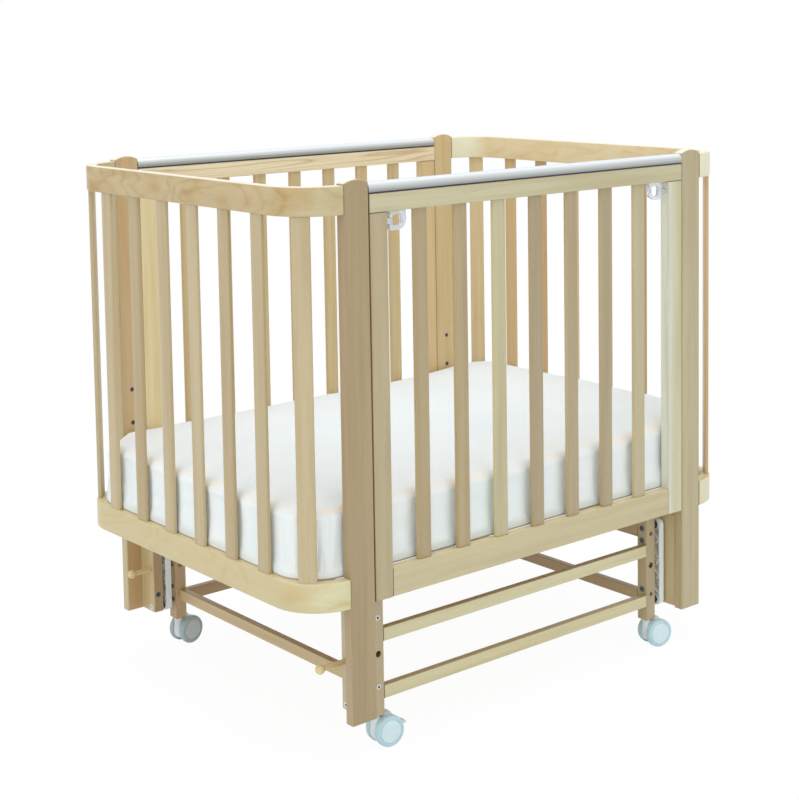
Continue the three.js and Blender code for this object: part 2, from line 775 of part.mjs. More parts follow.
// Legs of the base frame, with the upper pivots, the lock pin's hole and the
// caster's socket
function addLegs() {
  const height = legTop - legBottom;
  for (const [face, ySign] of Object.entries(faces)) {
    for (const [side, xSign] of Object.entries(sides)) {
      const y = ySign * pivotY;
      const leg = board(legWidth, legThickness, height);
      leg.translate(xSign * legMiddleX, y, (legTop + legBottom) / 2);
      const washerEnd = legOuterX + legWasherThickness;
      const washer = rodAlongX(pivotWasherRadius, xSign * (legOuterX - overrun),
        xSign * washerEnd, y, upperPivotHeight);
      const shank = rodAlongX(pivotRadius, xSign * (legOuterX - overrun),
        xSign * linkOuterX, y, upperPivotHeight);
      const head = rodAlongX(pivotHeadRadius, xSign * (linkOuterX - pivotHeadThickness),
        xSign * linkOuterX, y, upperPivotHeight);
      let body = solid(leg).add(solid(washer)).add(solid(shank)).add(solid(head));
      const pinHole = rodAlongX(lockPinRadius + fit, xSign * (legOuterX - lockHoleDepth),
        xSign * (legOuterX + overrun), y, middleHoleHeight);
      const faceHole = rodAlongY(legHoleRadius, ySign * (legOuterY - legHoleDepth),
        ySign * (legOuterY + overrun), xSign * legMiddleX, middleHoleHeight);
      const socket = rodAlongZ(stemRadius + turnGap, legBottom - overrun,
        legBottom + stemLength + turnGap, xSign * legMiddleX, y);
      for (const cut of [pinHole, faceHole, socket]) body = body.subtract(solid(cut));
      add(`leg_${face}_${side}`, geometryOf(body), looks.frame);
    }
  }
}

function addFrameRails() {
  const sideLength = 2 * (legInnerX - fit);
  const levels = { upper: upperSideRailBottom, lower: lowerSideRailBottom };
  for (const [face, ySign] of Object.entries(faces)) {
    for (const [level, bottom] of Object.entries(levels)) {
      const rail = board(sideLength, frameRailThickness, sideRailHeight);
      const y = ySign * (legOuterY - frameRailThickness / 2);
      add(`frame_rail_${face}_${level}`, rail, looks.frame,
        at(0, y, bottom + sideRailHeight / 2));
    }
  }
  const endLength = 2 * (legInnerY - fit);
  const boardBottom = legTop - endBoardDrop - endBoardHeight;
  for (const [side, xSign] of Object.entries(sides)) {
    const x = xSign * (legInnerX + frameRailThickness / 2);
    const rail = board(frameRailThickness, endLength, endRailHeight);
    add(`frame_rail_${side}_lower`, rail, looks.frame, at(x, 0, endRailBottom + endRailHeight / 2));
    const upper = board(frameRailThickness, endLength, endBoardHeight);
    add(`frame_board_${side}_upper`, upper, looks.frame, at(x, 0, boardBottom + endBoardHeight / 2));
  }
}

// Casters: twin wheels on one axle, a hood between them that carries the stem,
// and a brake lever on the one at the front left. The wheel's facets lie on its
// round, and one of them lies flat on the floor.
function wheelProfile() {
  const r = wheelRadius / Math.cos(Math.PI / wheelSteps);
  const e = wheelEdgeRound;
  const points = [new THREE.Vector2(0, 0), new THREE.Vector2(r - e / 2, 0), new THREE.Vector2(r, e / 2)];
  for (const share of wheelRoundShares) {
    const angle = share * Math.PI / 2;
    const y = wheelWidth - e + e * Math.sin(angle);
    points.push(new THREE.Vector2(r - e + e * Math.cos(angle), y));
  }
  points.push(new THREE.Vector2(wheelDiscRadius, wheelWidth));
  points.push(new THREE.Vector2(wheelDiscRadius - wheelDiscGroove / 2, wheelWidth - wheelDiscRecess));
  points.push(new THREE.Vector2(wheelDiscRadius - wheelDiscGroove, wheelWidth - wheelDiscRecess / 4));
  points.push(new THREE.Vector2(0, wheelWidth - wheelDiscRecess / 4));
  return points;
}

function wheelPair() {
  const inner = (wheelSpacing - wheelWidth) / 2;
  const reach = inner + wheelWidth / 2;
  let pair = solid(rod(axleRadius, 2 * reach));
  for (const sign of [-1, 1]) {
    const wheel = new THREE.LatheGeometry(wheelProfile(), wheelSteps, Math.PI / wheelSteps);
    if (sign < 0) wheel.rotateX(Math.PI);
    wheel.translate(0, sign * inner, 0);
    pair = pair.add(solid(wheel));
  }
  return geometryOf(pair);
}

// The hood in the caster's own frame: the stem on local Z, the axle at the trail
const hoodWidth = wheelSpacing - wheelWidth - 2 * turnGap;
const hoodRadius = wheelRadius - hoodSetback;
const brakePivotX = casterTrail + hoodRadius - brakeArmRadius - turnGap;
const brakePivotZ = wheelRadius + brakeArmRadius;

function hoodBody(hasBrake) {
  const bossTop = legBottom - fit;
  let hood = solid(rod(hoodRadius, hoodWidth, wheelSteps).translate(casterTrail, 0, wheelRadius));
  hood = hood.add(solid(rodAlongZ(stemBossRadius, wheelRadius, bossTop, 0, 0)));
  const under = new THREE.BoxGeometry(4 * wheelRadius, 2 * hoodWidth, hoodCut);
  hood = hood.subtract(solid(under.translate(casterTrail, 0, hoodCut / 2)));
  hood = hood.add(solid(rodAlongZ(stemRadius, wheelRadius, legBottom + stemLength, 0, 0)));
  const halfBore = hoodWidth;
  const bore = rodAlongY(axleRadius + turnGap, -halfBore, halfBore, casterTrail, wheelRadius);
  hood = hood.subtract(solid(bore));
  if (hasBrake) {
    const slot = new THREE.BoxGeometry(brakeSlotDepth + brakeReach, brakeSlotWidth,
      4 * brakeArmRadius);
    const slotStart = casterTrail + hoodRadius - brakeSlotDepth;
    slot.translate(slotStart + (brakeSlotDepth + brakeReach) / 2, 0, brakePivotZ);
    hood = hood.subtract(solid(slot));
    const halfPin = hoodWidth / 2;
    const pin = rodAlongY(brakePinRadius, -halfPin, halfPin, brakePivotX, brakePivotZ);
    hood = hood.add(solid(pin));
  }
  return geometryOf(hood);
}

function brakeLever() {
  const armWidth = brakeSlotWidth - 2 * turnGap;
  const length = brakeReach;
  let lever = solid(rodAlongY(brakeArmRadius, -armWidth / 2, armWidth / 2, 0, 0));
  const arm = new THREE.BoxGeometry(length, armWidth, brakePadThickness);
  lever = lever.add(solid(arm.translate(length / 2, 0, 0)));
  const padLength = length - brakeArmRadius - 2 * turnGap;
  const pad = toFront(thicken(roundedBox(padLength, brakePadThickness, brakePadThickness / 3),
    brakePadWidth, 0, slatSteps));
  lever = lever.add(solid(pad.translate(length + brakePadThickness / 2 - padLength / 2 + turnGap, 0, 0)));
  const bore = rodAlongY(brakePinRadius + turnGap, -armWidth, armWidth, 0, 0);
  return geometryOf(lever.subtract(solid(bore)));
}

function addCasters() {
  for (const [face, ySign] of Object.entries(faces)) {
    for (const [side, xSign] of Object.entries(sides)) {
      const corner = `${face}_${side}`;
      const place = at(xSign * legMiddleX, ySign * pivotY, 0);
      place.multiply(new THREE.Matrix4().makeRotationZ(casterTurns[corner]));
      const hasBrake = corner === 'front_left';
      add(`caster_hood_${corner}`, hoodBody(hasBrake), looks.hood, place);
      const axle = place.clone().multiply(at(casterTrail, 0, wheelRadius));
      add(`caster_wheels_${corner}`, wheelPair(), looks.wheel, axle);
      if (hasBrake) {
        const pivot = place.clone().multiply(at(brakePivotX, 0, brakePivotZ));
        add('caster_brake_lever', brakeLever(), looks.hood, pivot);
      }
    }
  }
}

// Latches: clear pull rings in the upper corners of the drop side, each on a
// bolt that runs through the stile. The outline's upper outer corner is at the
// origin, and the ring reaches inwards and down from it.
function latchOutline(inset, smallRound) {
  const right = -inset;
  const left = inset - latchWidth;
  const top = -inset;
  const low = inset - latchHeight;
  const big = Math.max(latchBigRound - inset, smallRound);
  const r = smallRound;
  const shape = new THREE.Shape();
  shape.absarc(right - r, top - r, r, 0, Math.PI / 2);
  shape.absarc(left + r, top - r, r, Math.PI / 2, Math.PI);
  shape.absarc(left + big, low + big, big, Math.PI, 3 * Math.PI / 2);
  shape.absarc(right - r, low + r, r, 3 * Math.PI / 2, 2 * Math.PI);
  return shape;
}

function addLatches() {
  const boltZ = latchRailGap - latchBoltDrop;
  for (const [side, xSign] of Object.entries(sides)) {
    const ring = latchOutline(0, latchSmallRound);
    const hole = latchOutline(latchWall, latchHoleRound);
    ring.holes.push(new THREE.Path(hole.getPoints(cornerSteps)));
    const plate = toFront(thicken(ring, latchThickness, 0, planSteps));
    const boltEnd = latchStandOff + stileWidth - fit;
    const bolt = rodAlongX(latchBoltRadius, -latchWall / 2, boltEnd, 0, boltZ);
    const collar = rodAlongX(latchCollarRadius, -latchWall / 2, latchCollarLength, 0, boltZ);
    const body = geometryOf(solid(plate).add(solid(bolt)).add(solid(collar)));
    if (xSign < 0) body.rotateZ(Math.PI);
    const x = xSign * (stileInnerX - latchStandOff);
    const y = latchSetback - postOuterY;
    add(`latch_${side}`, body, looks.clear, at(x, y, topRailBottom - latchRailGap));
  }
}

addPosts();
addSide('drop_side', -1, true, false);
addSide('back_side', 1, false, true);
addEnds();
addMattressBase();
addMattress();
addHangers();
addLinks();
addLockPins();
addLegs();
addFrameRails();
addCasters();
addLatches();

export default crib;
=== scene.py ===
"""Looks for a pendulum crib: a cot with bent ends and a drop side, hung on four
links over a wheeled frame. Lengths in the tables are millimetres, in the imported
model's own frame: +X along the cot, -Y the drop side, +Z up, z = 0 the floor."""

import math

import bmesh
import bpy
from mathutils import Matrix, Vector, noise


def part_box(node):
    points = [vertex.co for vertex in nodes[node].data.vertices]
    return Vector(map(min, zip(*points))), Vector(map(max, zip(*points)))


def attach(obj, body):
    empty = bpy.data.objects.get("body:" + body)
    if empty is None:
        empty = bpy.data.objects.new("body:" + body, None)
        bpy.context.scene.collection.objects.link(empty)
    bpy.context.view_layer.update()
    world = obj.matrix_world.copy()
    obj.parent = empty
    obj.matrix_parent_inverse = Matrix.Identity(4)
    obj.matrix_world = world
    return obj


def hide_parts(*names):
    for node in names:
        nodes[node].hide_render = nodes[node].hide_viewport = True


MM = 0.001
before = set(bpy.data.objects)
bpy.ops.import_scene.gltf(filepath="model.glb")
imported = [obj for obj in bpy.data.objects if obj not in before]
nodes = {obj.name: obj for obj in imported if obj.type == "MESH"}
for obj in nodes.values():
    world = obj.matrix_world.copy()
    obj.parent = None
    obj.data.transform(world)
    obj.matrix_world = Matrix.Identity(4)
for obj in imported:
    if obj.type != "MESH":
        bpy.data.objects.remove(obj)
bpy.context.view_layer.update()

# Places repeated from the part's source
POST_OUTER_X = 392.2
SIDE_OUTER_Y, SIDE_INNER_Y = 340.0, 321.6
END_OUTER_X, END_RADIUS, END_THICKNESS = 472.0, 81.0, 18.4
END_TOP_RAIL, END_LOW_RAIL, END_SLATS = (840.45, 883.45), (252.05, 296.35), (292.35, 840.15)
SLAT_INSET, SLAT_THICKNESS, SLAT_WIDTH, SLAT_MARGIN, SLAT_COUNT = 3.0, 7.0, 28.5, 62.3, 8
BEND_X, BEND_Y = END_OUTER_X - END_RADIUS, SIDE_OUTER_Y - END_RADIUS
BEND_START_X = POST_OUTER_X + 0.3
HANGER_INNER_X, HANGER_OUTER_X, HANGER_INNER_Y = 346.6, 365.0, 276.9
LEG_OUTER_X, LEG_INNER_X = 321.3, 299.3
LEG_X, PIVOT_Y, LEG_FACE_Y, LEG_BOTTOM = 310.3, 287.3, 298.3, 51.0
LINK_INNER_X, LINK_OUTER_X = 331.2, 341.9
LOWER_PIVOT_Z, UPPER_PIVOT_Z = 81.45, 218.45
PIN_Z = (LOWER_PIVOT_Z + UPPER_PIVOT_Z) / 2
WHEEL_RADIUS, WHEEL_TRAIL = 24.8, 17.6
CORNERS = ("front_left", "front_right", "back_left", "back_right")


def signs(corner):
    """The signs of Y and X at a corner such as front_left."""
    face, side = corner.split("_")
    return (-1 if face == "front" else 1), (-1 if side == "left" else 1)


def rgb(*color):
    """A colour written as a screen shows it, from 0 to 255, made linear."""
    shares = [value / 255 for value in color]
    return (*(s / 12.92 if s <= 0.04045 else ((s + 0.055) / 1.055) ** 2.4 for s in shares), 1.0)


# Materials

# Noise in wood: a cell's length and width in millimetres, what is added to the
# board's seed, and the noise's detail, roughness and distortion
FIGURES = {
    "streak": (330, 13, 0, 3.0, 0.55, 0.0), "band": (520, 42, 1, 2.0, 0.5, 0.4),
    "fibre": (26, 0.9, 2, 2.0, 0.6, 0.0), "fleck": (5.5, 0.75, 3, 1.0, 0.5, 0.0),
    "arcs": (175, 66, 5, 1.5, 0.35, 0.25), "clouds": (90, 38, 7, 3.0, 0.55, 1.2),
    "mottle": (22, 9, 8, 2.0, 0.5, 0.8), "rings": (620, 27, 8, 1.0, 0.4, 0.15),
}
# What a board's tone is multiplied by, in each channel; the tints for holes and eased edges are
# painted shade
TINTS = {
    "pale": (1.07, 1.08, 1.10), "deep": (0.80, 0.70, 0.56), "pores": (0.42, 0.40, 0.36),
    "joint": (0.3, 0.22, 0.15), "bore_shade": (0.52, 0.42, 0.35), "arris_shade": (0.44, 0.36, 0.28),
    "cloud": (0.92, 0.76, 0.55), "amber": (0.84, 0.62, 0.38), "ring": (0.62, 0.46, 0.34),
    "knot": (0.42, 0.28, 0.18),
}
# Faces looking up are mixed towards this colour: a painted light from above
TOP_LIGHT_TONE = rgb(250, 248, 234)
VENEER, ARRIS_REACH = 1.84, 1.1


class Graph:
    """The node tree of a material or world, with its shader and the piece's own
    coordinates."""

    def __init__(self, owner, shader="Principled BSDF", **settings):
        self.owner = owner
        owner.use_nodes = True
        self.tree = owner.node_tree
        self.shader = self.tree.nodes[shader]
        self.set(**settings)
        coordinates = self.node("TexCoord").outputs
        self.place = coordinates["Object"]
        self.normal = coordinates["Normal"]

    def set(self, **settings):
        for key, value in settings.items():
            self.plug(self.shader.inputs[key.replace("_", " ")], value)

    def plug(self, socket, value):
        if isinstance(value, bpy.types.NodeSocket):
            self.tree.links.new(value, socket)
        else:
            socket.default_value = value

    def node(self, kind, settings=None, **inputs):
        """A new node. An input is given by its name, or by _ and its number."""
        node = self.tree.nodes.new("ShaderNode" + kind)
        for key, value in (settings or {}).items():
            setattr(node, key, value)
        for key, value in inputs.items():
            slot = int(key[1:]) if key[0] == "_" else key.replace("_", " ")
            self.plug(node.inputs[slot], value)
        return node

    def add(self, kind, output=0, settings=None, **inputs):
        """One output of a new node."""
        return self.node(kind, settings, **inputs).outputs[output]

    def math(self, operation, first, second=0.0):
        return self.add("Math", 0, {"operation": operation}, _0=first, _1=second)

    def times(self, first, second):
        return self.math("MULTIPLY", first, second)

    def length(self, first, second):
        """The length of a line that runs this far in two directions."""
        squares = self.math("ADD", self.times(first, first), self.times(second, second))
        return self.math("SQRT", squares)

    def mapped(self, vector, sizes, seed=0.0):
        """Coordinates counted in cells of these sizes, in millimetres."""
        scale = [1 / (size * MM) for size in sizes]
        return self.add("Mapping", Vector=vector, Scale=scale,
                        Location=(seed * 3.1, seed * 7.7, seed * 5.3))

    def noise(self, vector, detail=2.0, roughness=0.5, distortion=0.0):
        return self.add("TexNoise", Vector=vector, Scale=1.0, Detail=detail,
                        Roughness=roughness, Distortion=distortion)

    def clouds(self, cell, detail=2.0):
        """Noise with cells of one size every way."""
        return self.noise(self.mapped(self.place, (cell,) * 3), detail)

    def ramp(self, factor, low, high):
        return self.add("MapRange", Value=factor, From_Min=low, From_Max=high)

    def mix(self, factor, first, second):
        return self.add("Mix", 2, {"data_type": "RGBA"}, _0=factor, _6=first, _7=second)

    def parts(self, vector):
        """A vector's three parts."""
        return self.node("SeparateXYZ", _0=vector).outputs

    def past(self, axis, limit, sense=1):
        """1 where the size of a coordinate is past a limit in millimetres."""
        size = self.math("ABSOLUTE", self.parts(self.place)[axis])
        return self.math("GREATER_THAN" if sense > 0 else "LESS_THAN", size, limit * MM)

    def bump(self, height, distance, strength=1.0):
        self.set(Normal=self.add("Bump", Height=height, Distance=distance * MM,
                                 Strength=strength))

    def show(self, factor, other):
        """Sends the tree's shader with another one over it to the output."""
        joined = self.add("MixShader", _0=factor, _1=self.shader.outputs[0], _2=other)
        output = next(n for n in self.tree.nodes if n.type.startswith("OUTPUT"))
        self.plug(output.inputs[0], joined)


def new_look(name, **settings):
    return Graph(bpy.data.materials.new(name), **settings)


def axis_sizes(along, length, across):
    """Cell sizes with the long one on the grain's axis (0 X, 1 Y, 2 Z)."""
    sizes = [across, across, across]
    sizes[along] = length
    return sizes


def drawn(g, board, name):
    """One of the FIGURES, drawn out along a board. board is its coordinates, the
    axis of its grain and its seed."""
    place, along, seed = board
    length, width, shift, *settings = FIGURES[name]
    return g.noise(g.mapped(place, axis_sizes(along, length, width), seed + shift), *settings)


def bent_coordinates(g):
    """Coordinates of a bent rail: depth in from its outer face, run along the
    bend, and height, so that grain and veneers follow the bend."""
    x, y, z = g.parts(g.place)
    past_x = g.math("SUBTRACT", g.math("ABSOLUTE", x), BEND_X * MM)
    past_y = g.math("MAXIMUM", g.math("SUBTRACT", g.math("ABSOLUTE", y), BEND_Y * MM), 0.0)
    depth = g.math("SUBTRACT", END_RADIUS * MM, g.length(past_x, past_y))
    angle = g.math("ARCTAN2", past_y, past_x)
    flat = g.math("MINIMUM", g.math("ABSOLUTE", y), BEND_Y * MM)
    run = g.times(g.math("ADD", flat, g.times(angle, END_RADIUS * MM)), g.math("SIGN", y))
    return g.add("CombineXYZ", _0=depth, _1=run, _2=z)


def turned_below(g, place, limit):
    """Coordinates with X and Z changed over below a height, for a rail and its
    slats that are one node."""
    x, y, z = g.parts(place)
    turned = g.add("CombineXYZ", _0=z, _1=y, _2=x)
    below = g.math("LESS_THAN", z, limit * MM)
    return g.add("Mix", 1, {"data_type": "VECTOR"}, _0=below, _4=place, _5=turned)


def shade(tone, tint):
    """A tone times one of the TINTS, kept below white."""
    return tuple(min(c * f, 0.95) for c, f in zip(tone, TINTS[tint])) + (1.0,)


def wood(name, tone, seed, along=2, side_light_tone=None, figure=0.0, veins=0.0, bent=False,
         contrast=1.0, knots=0.0, joints=(), front_light_tone=None, top_light_tone=None, fade=None,
         bore_shade=None, lying_below=None):
    """Pale lacquered wood. tone is the face's colour; the side, front and top light
    tones are painted light, the colours of faces that look along X, -Y and up, made
    lighter, darker or warmer for the light that falls on them. figure is the strength
    of a veneer's flame, veins that of a cathedral grain. joints say past what limits a
    board's ends turn dark, fade is (axis, from, to, tone) of a colour that
    comes in across it, and a hole through it, given by (x, z, radius), is painted dark
    as the shade inside it. Eased edges and seams are painted darker as shade. Below
    the height lying_below the grain of an upright board lies along X."""
    g = new_look(name, Roughness=0.4, Coat_Weight=0.14, Coat_Roughness=0.22)
    place = bent_coordinates(g) if bent else g.place
    if lying_below:
        place = turned_below(g, place, lying_below)
    board = place, 1 if bent else along, seed
    streak, band, fibre, fleck = (drawn(g, board, kind)
                                  for kind in ("streak", "band", "fibre", "fleck"))
    deep = shade(tone, "deep")
    normal = g.parts(g.normal)
    face = g.mix(g.ramp(band, 0.35, 0.68), shade(tone, "pale"), tone)
    # Faces along X take a painted light tone
    if side_light_tone:
        face = g.mix(g.ramp(g.math("ABSOLUTE", normal[0]), 0.55, 0.85), face, side_light_tone)
    if fade:
        axis, start, stop, other = fade
        face = g.mix(g.ramp(g.parts(g.place)[axis], start * MM, stop * MM), face, other)
    face = g.mix(g.times(g.ramp(streak, 0.42, 0.75), 0.50 * contrast), face, deep)
    if figure:
        face = flame(g, board, face, tone, figure)
    if veins:
        face = cathedral(g, board, face, tone, veins)
    # Faces looking along -Y take a painted light tone
    if front_light_tone:
        forward = g.ramp(g.times(normal[1], -1.0), 0.25, 0.80)
        face = g.mix(g.times(forward, 0.85), face, front_light_tone)
    # Faces looking up take a painted light tone from above
    upward = g.ramp(normal[2], 0.6, 0.95)
    face = g.mix(g.times(upward, 0.85), face, top_light_tone or TOP_LIGHT_TONE)
    face = g.mix(g.times(g.ramp(fibre, 0.45, 0.8), 0.22 * contrast), face, deep)
    face = g.mix(g.times(g.ramp(fleck, 0.66, 0.76), 0.30 * contrast), face, shade(tone, "pores"))
    if knots:
        face = pin_knots(g, board, face, tone, knots)
    if bent:
        face = veneers(g, place, face, deep)
    for joint in joints:
        face = g.mix(g.times(g.past(*joint), 0.75), face, shade(tone, "joint"))
    # Painted shade inside the pin's hole
    if bore_shade:
        x, _, z = g.parts(g.place)
        across = g.math("SUBTRACT", g.math("ABSOLUTE", x), bore_shade[0] * MM)
        away = g.length(across, g.math("SUBTRACT", z, bore_shade[1] * MM))
        face = g.mix(g.math("LESS_THAN", away, bore_shade[2] * MM), face, shade(tone, "bore_shade"))
    # Painted shade on eased edges and in seams
    face = g.mix(g.times(arris_shade(g), 0.75), face, shade(tone, "arris_shade"))
    g.set(Base_Color=face)
    g.bump(g.math("ADD", fibre, g.times(fleck, 0.6)), 0.08, 0.5)
    return g.owner


def arris_shade(g):
    """1 within a millimetre of a board's edge or of the board that it meets, where the wood is
    painted darker as shade.
    """
    softened = g.add("Bevel", 0, {"samples": 4}, Radius=ARRIS_REACH * MM)
    turn = g.add("VectorMath", "Value", {"operation": "DOT_PRODUCT"}, _0=softened,
                 _1=g.add("NewGeometry", "Normal"))
    return g.ramp(turn, 0.97, 0.85)


def rings(g, warp, count, power):
    """Bright lines where a slow noise crosses one of many even levels."""
    ring = g.math("ABSOLUTE", g.math("SINE", g.times(warp, count * math.pi)))
    return g.math("POWER", g.math("SUBTRACT", 1.0, ring), power)


def flame(g, board, face, tone, figure):
    """The soft amber figure of a rotary-cut birch veneer: wide arcs and clouds."""
    line = rings(g, drawn(g, board, "arcs"), 9.0, 1.7)
    clouds = g.ramp(drawn(g, board, "clouds"), 0.44, 0.66)
    mottle = g.ramp(drawn(g, board, "mottle"), 0.45, 0.70)
    amount = g.times(g.math("ADD", g.times(mottle, 0.35), clouds), 0.55 * figure)
    face = g.mix(amount, face, shade(tone, "cloud"))
    strength = g.math("ADD", g.times(clouds, 0.50), 0.30)
    return g.mix(g.times(g.times(line, strength), figure), face, shade(tone, "amber"))


def cathedral(g, board, face, tone, veins):
    """Fine growth-ring lines that run to long points along a flat-sawn board."""
    line = rings(g, drawn(g, board, "rings"), 13, 3.0)
    return g.mix(g.times(line, 0.55 * veins), face, shade(tone, "ring"))


def pin_knots(g, board, face, tone, knots):
    """A few small dark pin knots, drawn out along the grain."""
    place, along, seed = board
    cells = g.node("TexVoronoi", Vector=g.mapped(place, axis_sizes(along, 120, 24), seed + 9),
                   Scale=1.0).outputs
    chosen = g.math("GREATER_THAN", g.parts(cells["Color"])[0], 0.72)
    spot = g.math("SUBTRACT", 1.0, g.ramp(cells["Distance"], 0.025, 0.075))
    return g.mix(g.times(g.times(spot, chosen), 0.7 * knots), face, shade(tone, "knot"))


def veneers(g, place, face, deep):
    """The glued veneers that show on the bent rail's upper and lower edges."""
    on_edge = g.ramp(g.math("ABSOLUTE", g.parts(g.normal)[2]), 0.7, 0.95)
    count = g.times(g.parts(place)[0], 1 / (VENEER * MM))
    odd = g.ramp(g.math("PINGPONG", count, 1.0), 0.42, 0.58)
    return g.mix(g.times(g.times(odd, on_edge), 0.30), face, deep)


def clouded(g, color, cloud, share):
    """A colour that turns darker in clouds, to a share of itself."""
    darker = tuple(c * share for c in color[:3]) + (1.0,)
    g.set(Base_Color=g.mix(g.ramp(cloud, 0.35, 0.7), color, darker))


def moulded(name, color, roughness=0.35, **settings):
    """Moulded plastic with a faint orange-peel surface and a little uneven tint."""
    g = new_look(name, Roughness=roughness, Specular_IOR_Level=0.5, **settings)
    clouded(g, color, g.clouds(38), 0.93)
    g.bump(g.clouds(0.9), 0.02, 0.6)
    return g.owner


def steel(name, color, roughness):
    """Zinc-plated steel, a little cloudy."""
    g = new_look(name, Metallic=0.9, Roughness=roughness)
    clouded(g, color, g.clouds(2.4, 3.0), 0.72)
    g.bump(g.clouds(0.5), 0.01, 0.5)
    return g.owner


def clear_plastic(name):
    """Clear moulding that catches a little blue on its edges."""
    g = new_look(name, Base_Color=rgb(243, 248, 254), Roughness=0.08, IOR=1.3,
                 Transmission_Weight=0.55, Specular_IOR_Level=0.6)
    g.bump(g.clouds(5), 0.05, 0.5)
    return g.owner


def ribbed_link(name, open_x, depth):
    """White moulded link whose open pocket is painted a warm shade, stronger the deeper it lies:
    painted shade and reflected wood colour in the recess.
    """
    g = new_look(name, Roughness=0.34, Specular_IOR_Level=0.5)
    white = g.mix(g.ramp(g.clouds(34), 0.35, 0.7), rgb(246, 253, 254), rgb(238, 248, 250))
    into = g.math("SUBTRACT", g.parts(g.place)[0], open_x * MM)
    # Painted shade and reflected wood colour deep in the pocket
    deep = g.ramp(into, 1.5 * MM, depth * MM)
    facing = g.ramp(g.times(g.parts(g.normal)[0], -1.0), 0.5, 0.9)
    g.set(Base_Color=g.mix(g.times(deep, facing), white, rgb(228, 196, 146)))
    g.bump(g.clouds(0.9), 0.02, 0.6)
    return g.owner


def silver_cap_painted_light(name, low, high, groove):
    """Silvered moulding with painted light: a painted highlight and a painted blue
    reflection on top, painted shade greyer down its sides, and a painted shadow in
    the groove under it. Heights are in millimetres."""
    g = new_look(name, Metallic=0.5, Roughness=0.28, Coat_Weight=0.35, Coat_Roughness=0.12)
    height = g.ramp(g.parts(g.place)[2], low * MM, high * MM)
    brushed = g.noise(g.mapped(g.place, (180, 2.2, 2.2)), 3.0, 0.5)
    silver = g.mix(g.ramp(brushed, 0.3, 0.7), rgb(214, 218, 215), rgb(200, 204, 202))
    # Painted shade low on the sides, a painted highlight above it and a painted blue reflection at
    # the crown
    face = g.mix(g.ramp(height, 0.12, 0.60), rgb(140, 144, 143), silver)
    face = g.mix(g.ramp(height, 0.62, 0.86), face, rgb(238, 242, 247))
    face = g.mix(g.ramp(height, 0.93, 0.99), face, rgb(206, 224, 244))
    # Painted shadow in the groove
    g.set(Base_Color=g.mix(g.math("LESS_THAN", height, groove), face, rgb(62, 54, 52)))
    g.bump(brushed, 0.012, 0.5)
    return g.owner


def cotton(name):
    """White cotton jersey: a fine weave, soft creases and a faint sheen. Its top and sides are
    painted as lit and shaded copies of one white, with painted warm shade where the top rolls into
    the sides and a painted shadow along its bottom.
    """
    g = new_look(name, Roughness=0.92, Sheen_Weight=0.2, Sheen_Roughness=0.5,
                 Specular_IOR_Level=0.2)
    cloud = g.ramp(g.noise(g.mapped(g.place, (140, 90, 60)), 3.0), 0.35, 0.68)
    # Lit and shaded copies of one white for the top and the sides: painted light
    top = g.mix(cloud, rgb(245, 251, 254), rgb(240, 249, 253))
    side = g.mix(cloud, rgb(248, 253, 253), rgb(240, 250, 251))
    upward = g.parts(g.normal)[2]
    # Painted warm shade where the top rolls into the sides
    rolled_edge_shade = g.times(g.ramp(upward, 0.30, 0.70), g.ramp(upward, 0.997, 0.95))
    streak = g.ramp(g.noise(g.mapped(g.place, (120, 90, 40)), 3.0, 0.6), 0.30, 0.66)
    face = g.mix(g.ramp(upward, 0.25, 0.80), side, top)
    face = g.mix(g.times(rolled_edge_shade, streak), face, rgb(248, 243, 234))
    # Painted shadow along the sheet's bottom
    low = g.ramp(g.parts(g.place)[2], 298.6 * MM, 297.2 * MM)
    g.set(Base_Color=g.mix(g.times(low, 0.8), face, rgb(150, 132, 106)))
    weave = [g.add("TexWave", 0, {"wave_type": "BANDS", "bands_direction": axis}, Scale=0.5,
                   Vector=g.mapped(g.place, (0.62, 0.62, 0.62)), Distortion=0.6)
             for axis in "XY"]
    crease = g.noise(g.mapped(g.place, (150, 17, 30)), 3.0, 0.5, 0.6)
    threads = g.times(g.math("ADD", weave[0], weave[1]), 0.05)
    g.bump(g.math("ADD", g.times(crease, 2.0), threads), 1.0, 0.55)
    return g.owner


def split_at(name, base, other, limit, sense=1):
    """One material up to |x| = limit and another past it, for a node whose wood and
    metal are one solid."""
    material = base.copy()
    material.name = name
    g = Graph(material)
    g.show(g.past(0, limit, sense), g.add("BsdfPrincipled", **other))
    return material


# Mesh tools

SHARP_ANGLE = 38


def placed(name, data):
    """A new object in the scene."""
    made = bpy.data.objects.new(name, data)
    bpy.context.scene.collection.objects.link(made)
    return made


def piece(name, bm, material, body, replaces=(), other=None):
    """A finished piece from a bmesh in millimetres, riding on a body. other is a
    second material and a test of a face's middle for it."""
    mesh = bpy.data.meshes.new(name)
    bmesh.ops.recalc_face_normals(bm, faces=bm.faces)
    bm.to_mesh(mesh)
    bm.free()
    mesh.materials.append(material)
    if other:
        mesh.materials.append(other[0])
        for polygon in mesh.polygons:
            polygon.material_index = 1 if other[1](polygon.center) else 0
    mesh.transform(Matrix.Scale(MM, 4))
    for polygon in mesh.polygons:
        polygon.use_smooth = True
    made = placed(name, mesh)
    mesh.set_sharp_from_angle(angle=math.radians(SHARP_ANGLE))
    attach(made, body)
    if replaces:
        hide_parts(*replaces)
    return made


def tube_faces(bm, rows):
    """Quads between closed rows of vertices."""
    for a, b in zip(rows, rows[1:]):
        for j in range(len(a)):
            k = (j + 1) % len(a)
            bm.faces.new((a[j], a[k], b[k], b[j]))


def closed_tube(bm, rows):
    tube_faces(bm, rows)
    bm.faces.new(rows[0])
    bm.faces.new(rows[-1])


def polar(radius, angle):
    """A point at a distance and an angle from a centre."""
    return radius * math.cos(angle), radius * math.sin(angle)


